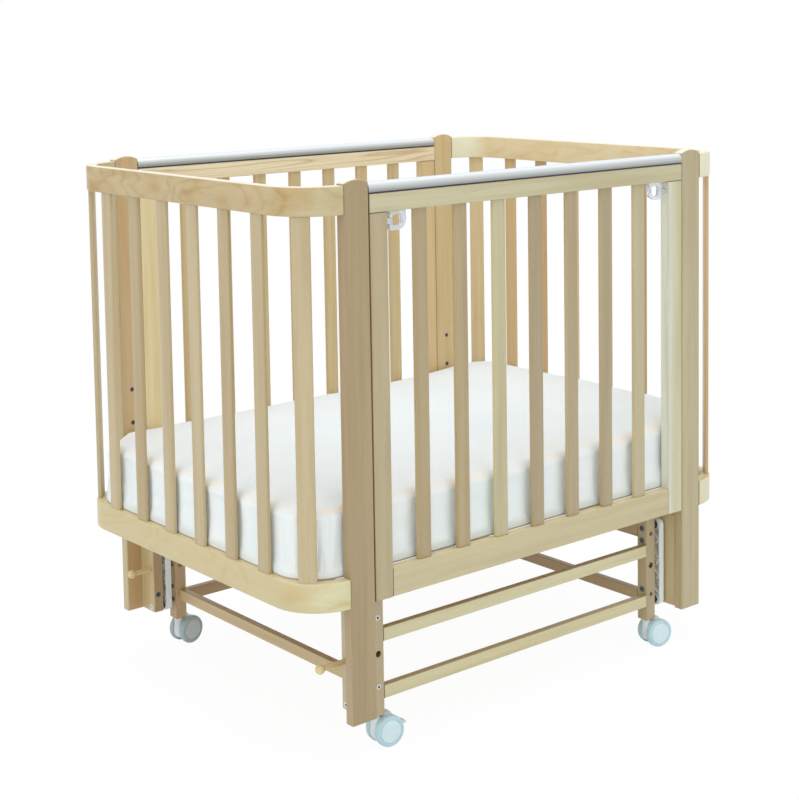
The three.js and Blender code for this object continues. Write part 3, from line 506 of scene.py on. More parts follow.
def lathe(bm, profile, steps, place):
    """A body turned about local Z from (radius, height) points. A radius of zero
    closes it."""
    rows = []
    for radius, height in profile:
        if radius <= 1e-6:
            rows.append([bm.verts.new(place @ Vector((0, 0, height)))])
            continue
        rows.append([bm.verts.new(place @ Vector((*polar(radius, 2 * math.pi * i / steps),
                                                  height))) for i in range(steps)])
    for a, b in zip(rows, rows[1:]):
        for i in range(steps):
            k = (i + 1) % steps
            if len(a) == 1:
                bm.faces.new((a[0], b[i], b[k]))
            elif len(b) == 1:
                bm.faces.new((a[i], a[k], b[0]))
            else:
                bm.faces.new((a[i], a[k], b[k], b[i]))
    return rows


def rounded_section(width, height, radius, steps=3):
    """Points round a rectangle with eased corners, centred on its middle."""
    points = []
    for corner in range(4):
        sign_x = 1 if corner in (0, 3) else -1
        sign_y = 1 if corner < 2 else -1
        for i in range(steps + 1):
            x, y = polar(radius, (corner + i / steps) * math.pi / 2)
            points.append((sign_x * (width / 2 - radius) + x,
                           sign_y * (height / 2 - radius) + y))
    return points


def prism(bm, section, start, end, place):
    """A section (across, up) run from start to end along local X."""
    closed_tube(bm, [[bm.verts.new(place @ Vector((x, *point))) for point in section]
                     for x in (start, end)])


def pointing(axis, origin=(0, 0, 0)):
    """A matrix that takes local Z to an axis at an origin."""
    turn = Vector(axis).to_track_quat("Z", "Y").to_matrix().to_4x4()
    return Matrix.Translation(origin) @ turn


# Finishes

# Each board's tone and, where it has another, the painted light tone of its faces along X
TONES = (
    ("post_", CORNERS, (
        (172, 153, 116, 184, 162, 126), (189, 178, 142, 202, 184, 144),
        (202, 173, 127, 202, 188, 146), (211, 187, 138, 214, 186, 136))),
    ("drop_side_", ("top_rail", "bottom_rail", "stile_left", "stile_right"), (
        (201, 195, 158), (204, 192, 153), (184, 170, 135, 186, 152, 97),
        (206, 202, 164, 214, 208, 170))),
    ("drop_side_slat_", "1234567", (
        (178, 160, 123, 198, 177, 132), (180, 162, 124, 196, 170, 125),
        (197, 189, 152, 210, 198, 154), (172, 157, 125, 190, 168, 129),
        (179, 163, 128, 199, 177, 137), (175, 161, 128, 194, 173, 133),
        (193, 182, 147, 206, 188, 148))),
    ("back_side_", ("top_rail", "stile_left", "stile_right", "bottom_rail_and_slats"), (
        (239, 224, 187), (229, 211, 163, 230, 222, 172), (216, 190, 142, 216, 190, 142),
        (205, 184, 138, 199, 172, 122))),
    ("hanger_block_", CORNERS, (
        (186, 168, 134, 214, 204, 168), (214, 200, 162, 212, 194, 152),
        (183, 157, 121, 216, 196, 150), (200, 170, 130, 212, 184, 136))),
    ("leg_", CORNERS, (
        (196, 179, 146, 180, 150, 116), (184, 168, 134, 190, 174, 132),
        (196, 168, 128, 192, 164, 122), (192, 164, 124, 192, 162, 120))),
    ("frame_rail_", ("front_upper", "front_lower", "back_upper", "back_lower"), (
        (217, 209, 168), (215, 207, 164), (190, 162, 122), (188, 160, 120))),
    ("frame_rail_", ("left_lower", "right_lower"), (
        (214, 192, 148, 214, 192, 148), (192, 166, 126, 192, 166, 126))),
    ("frame_board_", ("left_upper", "right_upper"), (
        (204, 178, 134, 204, 178, 134), (192, 168, 130, 190, 166, 128))),
)
# Painted light tones for the tops of some boards: darker on the frame's rails, less bright on the
# drop side's bottom rail
TOP_LIGHT_TONES = {"frame": rgb(178, 152, 116), "drop_side_bottom_rail": rgb(226, 208, 164)}
FADES = {"drop_side_stile_right": (0, 331.0, 313.0, rgb(222, 224, 208))}
VEINS = {"back_side_top_rail": 1.3, "drop_side_top_rail": 0.3, "post_front_right": 0.25}
JOINTS = {"stile": ((2, 838.0), (0, 344.4)), "side_bottom_rail": ((0, 310.7),),
          "drop_side_top_rail": ((0, 344.4),), "frame_rail_front": ((0, 298.4),),
          "frame_rail_back": ((0, 298.4),)}
# The pin's hole in the legs is painted dark, as the shade inside it
PIN_BORE_SHADE, SIDE_RAIL_TOP, SEED_STEP = (LEG_X, PIN_Z, 5.3), 296.4, 1.7
WASHER = {"Base_Color": rgb(34, 34, 36), "Roughness": 0.5}


def paint(node, material):
    """The node's own look, in every material slot that it has."""
    slots = nodes[node].data.materials
    if not slots:
        slots.append(material)
    for i in range(len(slots)):
        slots[i] = material


def paint_wood():
    """Each board its own cut of wood, with the grain along its length."""
    boards = [(start + name, row) for start, names, rows in TONES
              for name, row in zip(names, rows)]
    for i, (node, row) in enumerate(boards):
        with_slats = "slats" in node
        along = 2
        if ("rail" in node or "board" in node) and not with_slats:
            along = 1 if "left" in node or "right" in node else 0
        joints = next((JOINTS[word] for word in JOINTS if word in node and not with_slats), ())
        top = next((TOP_LIGHT_TONES[word] for word in TOP_LIGHT_TONES if word in node), None)
        look = wood(f"beech_{i}", rgb(*row[:3]), SEED_STEP * i, along,
                    rgb(*row[3:]) if row[3:] else None, veins=VEINS.get(node, 0.0),
                    knots=0.8 if "slat" in node else 0.35, joints=joints, top_light_tone=top,
                    fade=FADES.get(node), bore_shade=PIN_BORE_SHADE if node.startswith("leg") else None,
                    lying_below=SIDE_RAIL_TOP if with_slats else None)
        if node.startswith("hanger"):
            look = split_at(f"beech_and_washer_{i}", look, WASHER, HANGER_INNER_X - 0.1, -1)
        if node.startswith("leg"):
            look = split_at(f"beech_and_washer_{i}", look, WASHER, LEG_OUTER_X + 0.1)
        paint(node, look)


paint_wood()
paint("mattress_base", wood("base_ply", rgb(206, 186, 142), 71.0, 0, figure=0.6))

HOOD_WHITE = moulded("hood_white", rgb(238, 248, 251), 0.34)
AQUA = (moulded("tyre_aqua", rgb(197, 230, 238), 0.42),
        moulded("disc_aqua", rgb(226, 247, 251), 0.5))
# Shaded copies of the aqua plastic for the back left caster: painted shade
SHADED_AQUA = (moulded("tyre_painted_shade", rgb(180, 198, 204), 0.42),
             moulded("disc_painted_shade", rgb(208, 218, 220), 0.5))
ZINC = moulded("zinc", rgb(226, 234, 240), 0.3, Metallic=0.3)
NUT = steel("nut", rgb(148, 146, 142), 0.4)
BOLT = steel("bolt", rgb(104, 110, 118), 0.36)
# Painted shade: dark discs at the bottom of each socket and a dark ring under each leg
PAINTED_SHADE = moulded("painted_shade_dark", rgb(16, 28, 40), 0.5)
CLEAR = clear_plastic("clear")
LATCH_BOLT = {"Base_Color": rgb(214, 218, 222), "Roughness": 0.4}
LATCH_BOLT_X = 306.0
for corner in CORNERS:
    open_x = LINK_INNER_X if signs(corner)[1] > 0 else -LINK_OUTER_X
    paint("link_" + corner,
          ribbed_link("link_white_" + corner, open_x, LINK_OUTER_X - LINK_INNER_X))
for side in ("left", "right"):
    paint("latch_" + side, split_at("clear_and_bolt_" + side, CLEAR, LATCH_BOLT, LATCH_BOLT_X))
paint("caster_brake_lever", HOOD_WHITE)


# Bent ends


def bend_stations(sign_x):
    """Places along the bent rail, front post to back post: a point on its outer
    face and the direction inwards."""
    sweep = math.acos((BEND_START_X - BEND_X) / END_RADIUS)
    stations = []
    steps = 28
    for i in range(steps + 1):
        angle = sweep * (1 - i / steps)
        out = Vector((sign_x * math.cos(angle), -math.sin(angle), 0))
        centre = Vector((sign_x * BEND_X, -BEND_Y, 0))
        stations.append((centre + out * END_RADIUS, -out))
    return stations + [(Vector((p.x, -p.y, 0)), Vector((d.x, -d.y, 0)))
                       for p, d in reversed(stations)]


def bent_rail(name, node, sign_x, reach, material):
    low, high = reach
    section = rounded_section(END_THICKNESS, high - low, 1.6)
    bm = bmesh.new()
    rows = []
    for point, inward in bend_stations(sign_x):
        rows.append([bm.verts.new(point + inward * (END_THICKNESS / 2 + s[0])
                                  + Vector((0, 0, (low + high) / 2 + s[1]))) for s in section])
    closed_tube(bm, rows)
    return piece(name, bm, material, "cot", [node])


def end_slats(name, node, sign_x, looks):
    """Slats at an even pitch along the rail, flat to the bend, of mixed looks."""
    radius = END_RADIUS - SLAT_INSET - SLAT_THICKNESS / 2
    sweep = math.acos((BEND_START_X - BEND_X) / radius)
    half = BEND_Y + radius * sweep
    pitch = 2 * (half - SLAT_MARGIN) / (SLAT_COUNT - 1)
    section = rounded_section(SLAT_THICKNESS, SLAT_WIDTH, 2.4, 5)
    for share, look in enumerate(looks):
        bm = bmesh.new()
        for i in range(share, SLAT_COUNT, len(looks)):
            distance = (i - (SLAT_COUNT - 1) / 2) * pitch
            past = max(abs(distance) - BEND_Y, 0) / radius
            sign = 1 if distance > 0 else -1
            centre = Vector((sign_x * (BEND_X + radius * math.cos(past)),
                             sign * (min(abs(distance), BEND_Y) + radius * math.sin(past)), 0))
            place = Matrix.Translation(centre) @ Matrix.Rotation(sign_x * sign * past, 4, "Z")
            closed_tube(bm, [[bm.verts.new(place @ Vector((s[0], s[1], z))) for s in section]
                             for z in END_SLATS])
        piece(f"{name}_{share}", bm, look, "cot", [node])


# The tones of a rail's face, the painted light tones of its side and its front, and its veneer's
# figure
END_TONES = {
    "left": {"top": ((199, 186, 145), (204, 183, 140), None, 1.4),
             "low": ((219, 216, 176), (214, 200, 156), None, 0.7),
             "slats": ((198, 181, 143), (195, 178, 140), (190, 171, 132))},
    "right": {"top": ((230, 214, 170), (231, 215, 176), (236, 236, 208), 0.7),
              "low": ((222, 206, 162), (218, 198, 152), (228, 224, 192), 0.7),
              "slats": ((208, 180, 134), (214, 192, 148), (200, 168, 120))},
}


def build_ends():
    for side, sign_x in (("left", -1), ("right", 1)):
        seed = 20.0 + sign_x * 6
        tones = END_TONES[side]
        bottom = "end_bottom_rail_and_slats_" + side
        # The last column is a painted light tone for a rail's top
        for part, name, node, reach, shift, top_light_tone in (
                ("top", "bent_top_rail_", "end_top_rail_" + side, END_TOP_RAIL, 0, None),
                ("low", "bent_bottom_rail_", bottom, END_LOW_RAIL, 3, rgb(226, 206, 160))):
            tone, side_light_tone, front, figure = tones[part]
            look = wood(f"ply_{part}_{side}", rgb(*tone), seed + shift, figure=figure,
                        side_light_tone=rgb(*side_light_tone), bent=True, contrast=0.6,
                        front_light_tone=rgb(*front) if front else None, top_light_tone=top_light_tone,
                        joints=((0, BEND_START_X + 0.7, -1),))
            bent_rail(name + side, node, sign_x, reach, look)
        slats = [wood(f"end_slat_{side}_{i}", rgb(*tone), seed + 9 + 2 * i, knots=0.8)
                 for i, tone in enumerate(tones["slats"])]
        end_slats(f"bent_end_slats_{side}", bottom, sign_x, slats)


build_ends()


# Side caps


def build_caps():
    """The silver half-round moulding on each long side's top rail, undercut
    where it meets the wood."""
    flat_height, groove, undercut, lip, steps = 8.0, 2.3, 1.5, 0.3, 20
    for name, body in (("drop_side", "drop_side"), ("back_side", "cot")):
        low, high = (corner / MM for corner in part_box(name + "_teething_cap"))
        half, top = (high.y - low.y) / 2, high.z - low.z
        section = [(-half + undercut, 0), (half - undercut, 0), (half - undercut, groove),
                   (half - lip, groove + 0.2), (half, groove + 2 * lip)]
        for i in range(steps + 1):
            x, y = polar(1, math.pi * i / steps)
            section.append((half * x, flat_height + (top - flat_height) * y))
        section += [(-half, groove + 2 * lip), (-half + lip, groove + 0.2),
                    (-half + undercut, groove)]
        place = Matrix.Translation((0, (low.y + high.y) / 2, low.z))
        bm = bmesh.new()
        prism(bm, section, low.x, high.x, place)
        # Painted highlight, reflection, shade and groove shadow on the silver
        look = silver_cap_painted_light(name + "_silver", low.z, high.z, (groove + 0.1) / top)
        piece(name + "_silver_cap_painted_light", bm, look, body, [name + "_teething_cap"])


build_caps()


# Lock pins


def build_lock_pins():
    """Turned dowels with a ball knob."""
    # The dowel's top takes a painted light tone
    look = wood("dowel", rgb(230, 208, 160), 90.0, 0, contrast=0.8, top_light_tone=rgb(240, 222, 180))
    radius, ball, ball_out, ease, steps = 4.5, 7.6, 6.12, 0.8, 14
    for face, sign_y in (("front", -1), ("back", 1)):
        node = "lock_pin_" + face
        low, high = (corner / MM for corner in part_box(node))
        start, tip = low.x + ball_out + ball, high.x
        length = tip - start
        profile = [(0, length), (radius - 0.7, length), (radius, length - ease), (radius, 0.0)]
        first = math.acos(ball_out / ball)
        for i in range(1, steps + 1):
            angle = first + (math.pi - first) * i / steps
            profile.append((ball * math.sin(angle), ball * math.cos(angle) - ball_out))
        profile[-1] = (0, -ball - ball_out)
        bm = bmesh.new()
        lathe(bm, profile, 40, pointing((1, 0, 0), (start, sign_y * PIVOT_Y, PIN_Z)))
        piece(f"turned_{node}", bm, look, node + "_body", [node])


build_lock_pins()


# Casters

CASTER_TURNS = {"front_left": -7, "front_right": -13, "back_left": 10, "back_right": 9}
WHEEL_INNER_Y, WHEEL_OUTER_Y, TYRE_EASE, DISC_RADIUS, DISC_GROOVE = 8.0, 19.5, 4.3, 18.6, 0.9
AXLE_RADIUS, AXLE_HALF = 3.2, 12.0
# The tyre's inner edge: radius past the wheel's, and distance past its inner face
TYRE_EDGE = ((-2.2, 0.0), (-0.9, 0.5), (-0.2, 1.7), (0.0, 3.0))
# The step from tyre to disc: radius past the disc's, and distance past the outer face
DISC_EDGE = ((0.8, 0.0), (0.5, -0.3), (0.2, -DISC_GROOVE), (-0.3, -DISC_GROOVE), (-0.7, -0.3),
             (-1.3, 0.0))
HOOD_RADIUS, HOOD_WALL, HOOD_HALF, HOOD_ROUND = 23.6, 2.4, 7.4, 1.6
HOOD_START, HOOD_STOP, LEVER_START = -32, 212, 34
# Radii and heights
BOSS = ((0, 25.5), (7.3, 25.5), (7.3, 48.0), (6.6, 49.2), (5.6, 50.7), (4.0, 50.7),
        (4.0, 80.2), (3.2, 81.0), (0, 81.0))
HUB = ((3.6, -7.0), (6.4, -7.0), (6.4, 7.0), (3.6, 7.0), (3.6, -7.0))
# A dark ring under each leg, painted shadow between leg and caster
FOOT_SHADOW_RING = ((6.3, 0.0), (8.6, 0.0), (8.6, 0.85), (6.3, 0.85), (6.3, 0.0))
WEB_Y, WEB_START, WEB_Z = 5.6, 2, 30


def wheel_profile():
    """Half of a twin wheel from its inner face to its outer disc."""
    ease = TYRE_EASE
    points = [(AXLE_RADIUS, WHEEL_INNER_Y)]
    points += [(WHEEL_RADIUS + r, WHEEL_INNER_Y + y) for r, y in TYRE_EDGE]
    points.append((WHEEL_RADIUS, WHEEL_OUTER_Y - ease - 0.2))
    for i in range(1, 8):
        x, y = polar(ease, math.pi / 2 * i / 8)
        points.append((WHEEL_RADIUS - ease + x, WHEEL_OUTER_Y - ease + y))
    points.append((WHEEL_RADIUS - ease, WHEEL_OUTER_Y))
    points += [(DISC_RADIUS + r, WHEEL_OUTER_Y + y) for r, y in DISC_EDGE]
    return points + [(13.0, WHEEL_OUTER_Y), (0, WHEEL_OUTER_Y)]


def on_disc(place):
    """Whether a place, as its axle has it, lies on a wheel's outer disc."""
    return abs(place.y) > WHEEL_OUTER_Y - 0.6 and math.hypot(place.x, place.z) < DISC_RADIUS


def build_casters():
    for corner in CORNERS:
        sign_y, sign_x = signs(corner)
        stem = Matrix.Translation((sign_x * LEG_X, sign_y * PIVOT_Y, 0))
        foot = stem @ Matrix.Rotation(math.radians(CASTER_TURNS[corner]), 4, "Z")
        axle = foot @ Matrix.Translation((WHEEL_TRAIL, 0, WHEEL_RADIUS))
        back = axle.inverted()
        bm = bmesh.new()
        for side in (1, -1):
            lathe(bm, wheel_profile(), 96, axle @ pointing((0, side, 0)))
        lathe(bm, [(0, -AXLE_HALF), (AXLE_RADIUS, -AXLE_HALF), (AXLE_RADIUS, AXLE_HALF),
                   (0, AXLE_HALF)], 24, axle @ pointing((0, 1, 0)))
        node = "caster_wheels_" + corner
        # The back left caster takes the shaded copies: painted shade
        tyre, disc = SHADED_AQUA if corner == "back_left" else AQUA
        piece(f"smooth_{node}", bm, tyre, "wheels_" + corner, [node],
              other=(disc, lambda middle: on_disc(back @ middle)))
        build_hood(corner, foot, axle)
        # A dark ring of painted shadow under the leg
        ring = bmesh.new()
        lathe(ring, FOOT_SHADOW_RING, 40, stem @ Matrix.Translation((0, 0, LEG_BOTTOM - FOOT_SHADOW_RING[2][1])))
        piece(f"leg_foot_ring_{corner}", ring, PAINTED_SHADE, "base_frame")


def build_hood(corner, foot, axle):
    """The white band between the wheels: a curved shell, open below, with the
    boss that carries the stem."""
    outer, half, ease, steps = HOOD_RADIUS, HOOD_HALF, HOOD_ROUND, 56
    start = math.radians(LEVER_START if corner == "front_left" else HOOD_START)
    stop = math.radians(HOOD_STOP)
    section = [(outer - HOOD_WALL, -half), (outer - HOOD_WALL, half)]
    turns = [math.pi / 2 * i / 6 for i in range(7)]
    section += [(outer - ease + ease * math.sin(a), half - ease + ease * math.cos(a))
                for a in turns]
    section += [(outer - ease + ease * math.cos(a), -half + ease - ease * math.sin(a))
                for a in turns]
    bm = bmesh.new()
    rows = []
    for i in range(steps + 1):
        x, z = polar(1, start + (stop - start) * i / steps)
        rows.append([bm.verts.new(axle @ Vector((r * x, y, r * z))) for r, y in section])
    closed_tube(bm, rows)
    lathe(bm, BOSS, 32, foot)
    lathe(bm, HUB, 32, axle @ pointing((0, 1, 0)))
    for y in (-WEB_Y, WEB_Y):
        place = foot @ Matrix.Translation((0, y, WEB_Z))
        prism(bm, rounded_section(1.6, 14, 0.6), WEB_START, WHEEL_TRAIL, place)
    node = "caster_hood_" + corner
    piece(f"smooth_{node}", bm, HOOD_WHITE, "caster_" + corner, [node])


build_casters()


# Fasteners

LEG_NUT_Z, LEG_BOLT_Z, LEG_OUTER_BOLT_Z = (207.45, 97.45), (217.0, 195.5, 106.5), (109.45, 85.45)
HANGER_NUT, SIDE_BOLTS = (357.0, 104.45), ((372.0, 473.45), (372.0, 413.45))
# A head's radius and height, its socket's size as a share of the radius, and the
# radius of a dark disc of painted shade at the socket's bottom, where it has one
LEG_NUT, LEG_BOLT, LEG_OUTER_BOLT = (4.2, 0.5, 0.56, 3.0), (5.2, 1.2, 0.5, 2.8), (4.0, 1.4, 0.42)
PIVOT_HEAD, HANGER_HEAD, SIDE_HEAD = (5.2, 1.6, 0.4), (5.0, 0.4, 0.5), (4.2, 0.4, 0.56, 2.6)
SOCKET_DEPTH = 1.6


def screw_head(bm, shade_floors, place, radius, height, socket, floor=0.0):
    """A bolt or barrel nut's round head with a hexagon socket, and where a radius is given, a dark
    disc of painted shade at the socket's bottom.
    """
    steps = 24
    profile = [(radius, 0.0), (radius, height - 0.35), (radius - 0.3, height - 0.08),
               (0.75 * radius, height)]
    rows = lathe(bm, profile, steps, place)
    inner = []
    for i in range(steps):
        angle = 2 * math.pi * i / steps
        corner = math.pi / 3
        reach = socket * radius * math.cos(corner / 2) / math.cos(angle % corner - corner / 2)
        inner.append(polar(reach, angle))
    top, low = ([bm.verts.new(place @ Vector((x, y, z))) for x, y in inner]
                for z in (height, height - SOCKET_DEPTH))
    tube_faces(bm, [rows[-1], top, low])
    bm.faces.new(low)
    bm.faces.new(rows[0])
    if floor:
        lathe(shade_floors, [(0, 0), (floor, 0), (floor, 0.15), (0, 0.2)], 24, place)


def build_fasteners():
    for corner in CORNERS:
        sign_y, sign_x = signs(corner)
        nuts, socket_shades, bolts, pivots, cot, cot_socket_shades = (bmesh.new() for _ in range(6))
        outward, back = (0, sign_y, 0), (0, -sign_y, 0)
        side, inward = (sign_x, 0, 0), (-sign_x, 0, 0)

        def head(bm, shade_floors, axis, kind, x, y, z):
            screw_head(bm, shade_floors, pointing(axis, (sign_x * x, sign_y * y, z)), *kind)

        for z in LEG_NUT_Z:
            head(nuts, socket_shades, outward, LEG_NUT, LEG_X, LEG_FACE_Y, z)
        for z in LEG_BOLT_Z:
            head(bolts, socket_shades, inward, LEG_BOLT, LEG_INNER_X, PIVOT_Y, z)
        for z in LEG_OUTER_BOLT_Z:
            head(bolts, socket_shades, side, LEG_OUTER_BOLT, LEG_OUTER_X, PIVOT_Y, z)
        head(pivots, socket_shades, side, PIVOT_HEAD, HANGER_OUTER_X, PIVOT_Y, LOWER_PIVOT_Z)
        head(cot, cot_socket_shades, back, HANGER_HEAD, HANGER_NUT[0], HANGER_INNER_Y, HANGER_NUT[1])
        for x, z in SIDE_BOLTS:
            head(cot, cot_socket_shades, back, SIDE_HEAD, x, SIDE_INNER_Y, z)
        nut = ZINC if corner == "front_left" else NUT
        # The socket pieces are dark discs of painted shade
        for name, bm, look, body in (
                ("leg_nuts", nuts, nut, "base_frame"), ("leg_socket_shades", socket_shades, PAINTED_SHADE, "base_frame"),
                ("leg_bolts", bolts, BOLT, "base_frame"), ("hanger_pivot", pivots, ZINC, "cot"),
                ("cot_bolts", cot, BOLT, "cot"), ("cot_socket_shades", cot_socket_shades, PAINTED_SHADE, "cot")):
            piece(f"{name}_{corner}", bm, look, body)


build_fasteners()


# Mattress

PAD_HALF, PAD_RADIUS, PAD_BOTTOM, PAD_EDGE, PAD_CROWN = (459.2, 319.0), 69.0, 304.95, 401.95, 23.0
PAD_SEAM, PAD_WAIST, PAD_HEM, PAD_HEM_WALL = 18.0, 2.5, 9.4, 0.35
SHEET_SLACK, SETTLE_FRAMES, SETTLE_REACH, SEAM_CALM = -0.02, 12, 2.0, 90.0
SLACK_CORNER, SLACK_DROP, SLACK_REACH = (-1, 1), 12.0, 130.0
SWELL_OUT, SWELL_MOST, PLEAT_OUT, PLEAT_MOST = 3.6, 4.6, 6.5, 2.2
SIDE_STEPS, SEAM_STEPS, TOP_STEPS, TOP_CLOSE = 15, 7, 30, 0.985
RISE, RISE_START = 19.0, 150.0
SIDE_PITCH, SIDE_SLAT_HALF, SIDE_SLAT_REACH = 81.0, 13.0, 283.5
END_PITCH, END_SLAT_HALF, END_SLAT_REACH = 89.2, 14.25, 178.0


def mattress_outline(half, radius, straight, arc):
    """Points round a rounded rectangle, with their outward directions and how
    far each lies into a corner (0 on the straights, 1 in a corner's middle)."""
    points = []
    centres = [Vector((sign_x * (half[0] - radius), sign_y * (half[1] - radius)))
               for sign_x, sign_y in ((1, 1), (-1, 1), (-1, -1), (1, -1))]
    for index, centre in enumerate(centres):
        for i in range(arc):
            out = Vector(polar(1, (index + i / arc) * math.pi / 2))
            points.append((centre + out * radius, out, math.sin(math.pi * (i / arc))))
        after = centres[(index + 1) % 4]
        out = Vector(polar(1, (index + 1) * math.pi / 2))
        steps = straight[index % 2]
        for i in range(steps):
            points.append((centre.lerp(after, i / steps) + out * radius, out, 0.0))
    return points


def ripple(x, y, z):
    return noise.noise(Vector((x, y, z)))


def clamped(value):
    return min(max(value, 0), 1)


def rise(x, z):
    """How far the pad's right end has been pushed up in the cot."""
    height = clamped((z - PAD_BOTTOM) / (PAD_EDGE - PAD_BOTTOM))
    along = clamped((x - RISE_START) / (END_OUTER_X - RISE_START))
    return RISE * height * along * along


def swell(x, y, out, z):
    """How far the cover stands out between two slats: 0 on a slat, 1 midway."""
    wander = 1.6 * ripple(x / 30, y / 30, z / 9)
    if abs(out.y) > 0.9 and abs(x) < SIDE_SLAT_REACH + 14:
        away = abs((x + SIDE_PITCH / 2) % SIDE_PITCH - SIDE_PITCH / 2) - SIDE_SLAT_HALF
    elif abs(out.x) > 0.9 and abs(y) < END_SLAT_REACH:
        away = abs(y % END_PITCH - END_PITCH / 2) - END_SLAT_HALF
    else:
        return 0.0
    share = clamped((away + wander) / 9)
    return share * share * (3 - 2 * share)


def at_corner(x, y, corner, reach):
    """1 in one corner of the pad, falling to 0 over a reach from its ends."""
    along = clamped(1 - (PAD_HALF[0] - x * corner[0]) / reach)
    return along * clamped(1 - (PAD_HALF[1] - y * corner[1]) / reach)


def slack(x, y):
    """How far the cover's top edge hangs down at the slack corner."""
    return SLACK_DROP * min(at_corner(x, y, SLACK_CORNER, SLACK_REACH) * 2.2, 1)


def top_creases(x, y):
    """Soft creases on the top, which run along the pad and gather at its edges."""
    edge = max(abs(x) / PAD_HALF[0], abs(y) / PAD_HALF[1])
    near = clamped((edge - 0.55) / 0.45)
    long = ripple(x / 190, y / 42, 0.3) * 2.2 + ripple(x / 260, y / 24, 4.2) * 1.2
    return long * (0.45 + 0.9 * near)


def pad_mesh():
    """The pad before it settles: crowned, drawn in at mid height, its corners
    gathered into pleats."""
    outline = mattress_outline(PAD_HALF, PAD_RADIUS, (84, 54), 30)
    bm = bmesh.new()
    rows = []

    def ring(inset, z, side, top, corner_inset=0.0):
        """side and top are the shares of the sides' and the top's figures here."""
        row = []
        for i, (point, out, corner) in enumerate(outline):
            x, y = point - out * (inset + corner_inset * corner)
            pleat = ripple(i * 0.42, z / 95, 1.3) + 0.7 * ripple(i * 0.9, z / 70 + 5, 8.1)
            uneven = 1 + 0.5 * ripple(x / 60, y / 60, z / 14)
            push = ripple(x / 90, y / 90, z / 40) * 0.9 + swell(x, y, out, z) * SWELL_OUT * uneven
            push = push * side + corner * side * PLEAT_OUT * pleat
            push = min(push, SWELL_MOST * side if corner == 0 else PLEAT_MOST * side)
            lift = top * top_creases(x, y) + rise(x, z)
            lift += side * 0.9 * ripple(x / 35, y / 35, 7.7)
            x, y = x + out.x * push, y + out.y * push
            sag = slack(x, y) * corner * max(z - PAD_BOTTOM, 0) / height
            row.append(bm.verts.new((x - out.x * sag * 0.35, y - out.y * sag * 0.35,
                                     max(z + lift, PAD_BOTTOM) - sag)))
        rows.append(row)

    def hem(inset, low):
        rows.append([bm.verts.new((*(point - out * inset), PAD_BOTTOM - low))
                     for point, out, _ in outline])

    height = PAD_EDGE - PAD_BOTTOM
    ring(PAD_RADIUS * 0.55, PAD_BOTTOM, 0.0, 0.0)
    hem(PAD_HEM_WALL, 0.0)
    hem(PAD_HEM_WALL, PAD_HEM)
    hem(0.1, PAD_HEM)
    hem(0.0, PAD_HEM - 1.0)
    hem(0.0, -0.5)
    ring(0.6, PAD_BOTTOM + 4, 0.7, 0.0, 1.5)
    for i in range(1, SIDE_STEPS + 1):
        z = PAD_BOTTOM + 8 + (height - PAD_SEAM - 8) * i / SIDE_STEPS
        away = (z - PAD_BOTTOM) / height * 2 - 1
        ring(PAD_WAIST * (1 - away * away), z, 1.0, 0.0)
    for i in range(1, SEAM_STEPS + 1):
        angle = math.pi / 2 * i / SEAM_STEPS
        ring(PAD_SEAM * (1 - math.cos(angle)), PAD_EDGE - PAD_SEAM + PAD_SEAM * math.sin(angle),
             1 - 0.6 * i / SEAM_STEPS, 0.4 * i / SEAM_STEPS)
    rim = [(v.co.x, v.co.y) for v in rows[-1]]
    spine = PAD_HALF[0] - PAD_HALF[1]
    for i in range(1, TOP_STEPS + 1):
        share = i / TOP_STEPS
        z = PAD_EDGE + PAD_CROWN * (1 - (1 - share) ** 2.2)
        row = []
        for x, y in rim:
            end_x = max(-spine, min(spine, x))
            px, py = x + (end_x - x) * share * TOP_CLOSE, y * (1 - share * TOP_CLOSE)
            lift = top_creases(px, py) * min(0.4 + share * 4, 1) + rise(px, z)
            lift -= SLACK_DROP * at_corner(px, py, SLACK_CORNER, SLACK_REACH)
            row.append(bm.verts.new((px, py, z + lift)))
        rows.append(row)
    closed_tube(bm, rows)
    return bm


def settle(made):
    """Lets the cover swell and crease as cloth a little wider than its filling,
    then keeps each point within a few millimetres of the shape it was cut to, and
    still closer where the mesh closes along the pad's middle."""
    scene = bpy.context.scene
    cut = [vertex.co.copy() for vertex in made.data.vertices]
    held = made.vertex_groups.new(name="held")
    low = (PAD_BOTTOM + 6) * MM
    held.add([v.index for v in made.data.vertices if v.co.z < low], 1.0, "REPLACE")
    cover = made.modifiers.new("cover", "CLOTH")
    cloth = cover.settings
    cloth.quality = 4
    cloth.mass = 0.15
    cloth.tension_stiffness = cloth.compression_stiffness = 12
    cloth.shear_stiffness = 4
    cloth.bending_stiffness = 0.12
    cloth.vertex_group_mass = held.name
    cloth.use_pressure = True
    cloth.uniform_pressure_force = 1.2
    cloth.shrink_min = SHEET_SLACK
    cloth.effector_weights.gravity = 0
    cover.collision_settings.use_collision = False
    cover.point_cache.frame_start, cover.point_cache.frame_end = 1, SETTLE_FRAMES
    for step in range(1, SETTLE_FRAMES + 1):
        scene.frame_set(step)
    settled = made.evaluated_get(bpy.context.evaluated_depsgraph_get())
    moved = [vertex.co.copy() for vertex in settled.data.vertices]
    made.modifiers.remove(cover)
    made.vertex_groups.remove(held)
    scene.frame_set(1)
    for vertex, start, end in zip(made.data.vertices, cut, moved):
        step = end - start
        reach = SETTLE_REACH * MM * min(abs(start.y) / (SEAM_CALM * MM), 1)
        if step.length > reach:
            step *= reach / step.length
        vertex.co = start + step
    made.data.update()


def build_mattress():
    """A foam mattress in a white fitted sheet, pressed between the slats."""
    made = piece("mattress_in_sheet", pad_mesh(), cotton("cotton_sheet"), "cot",
                 ["mattress"])
    settle(made)


build_mattress()


# Studio

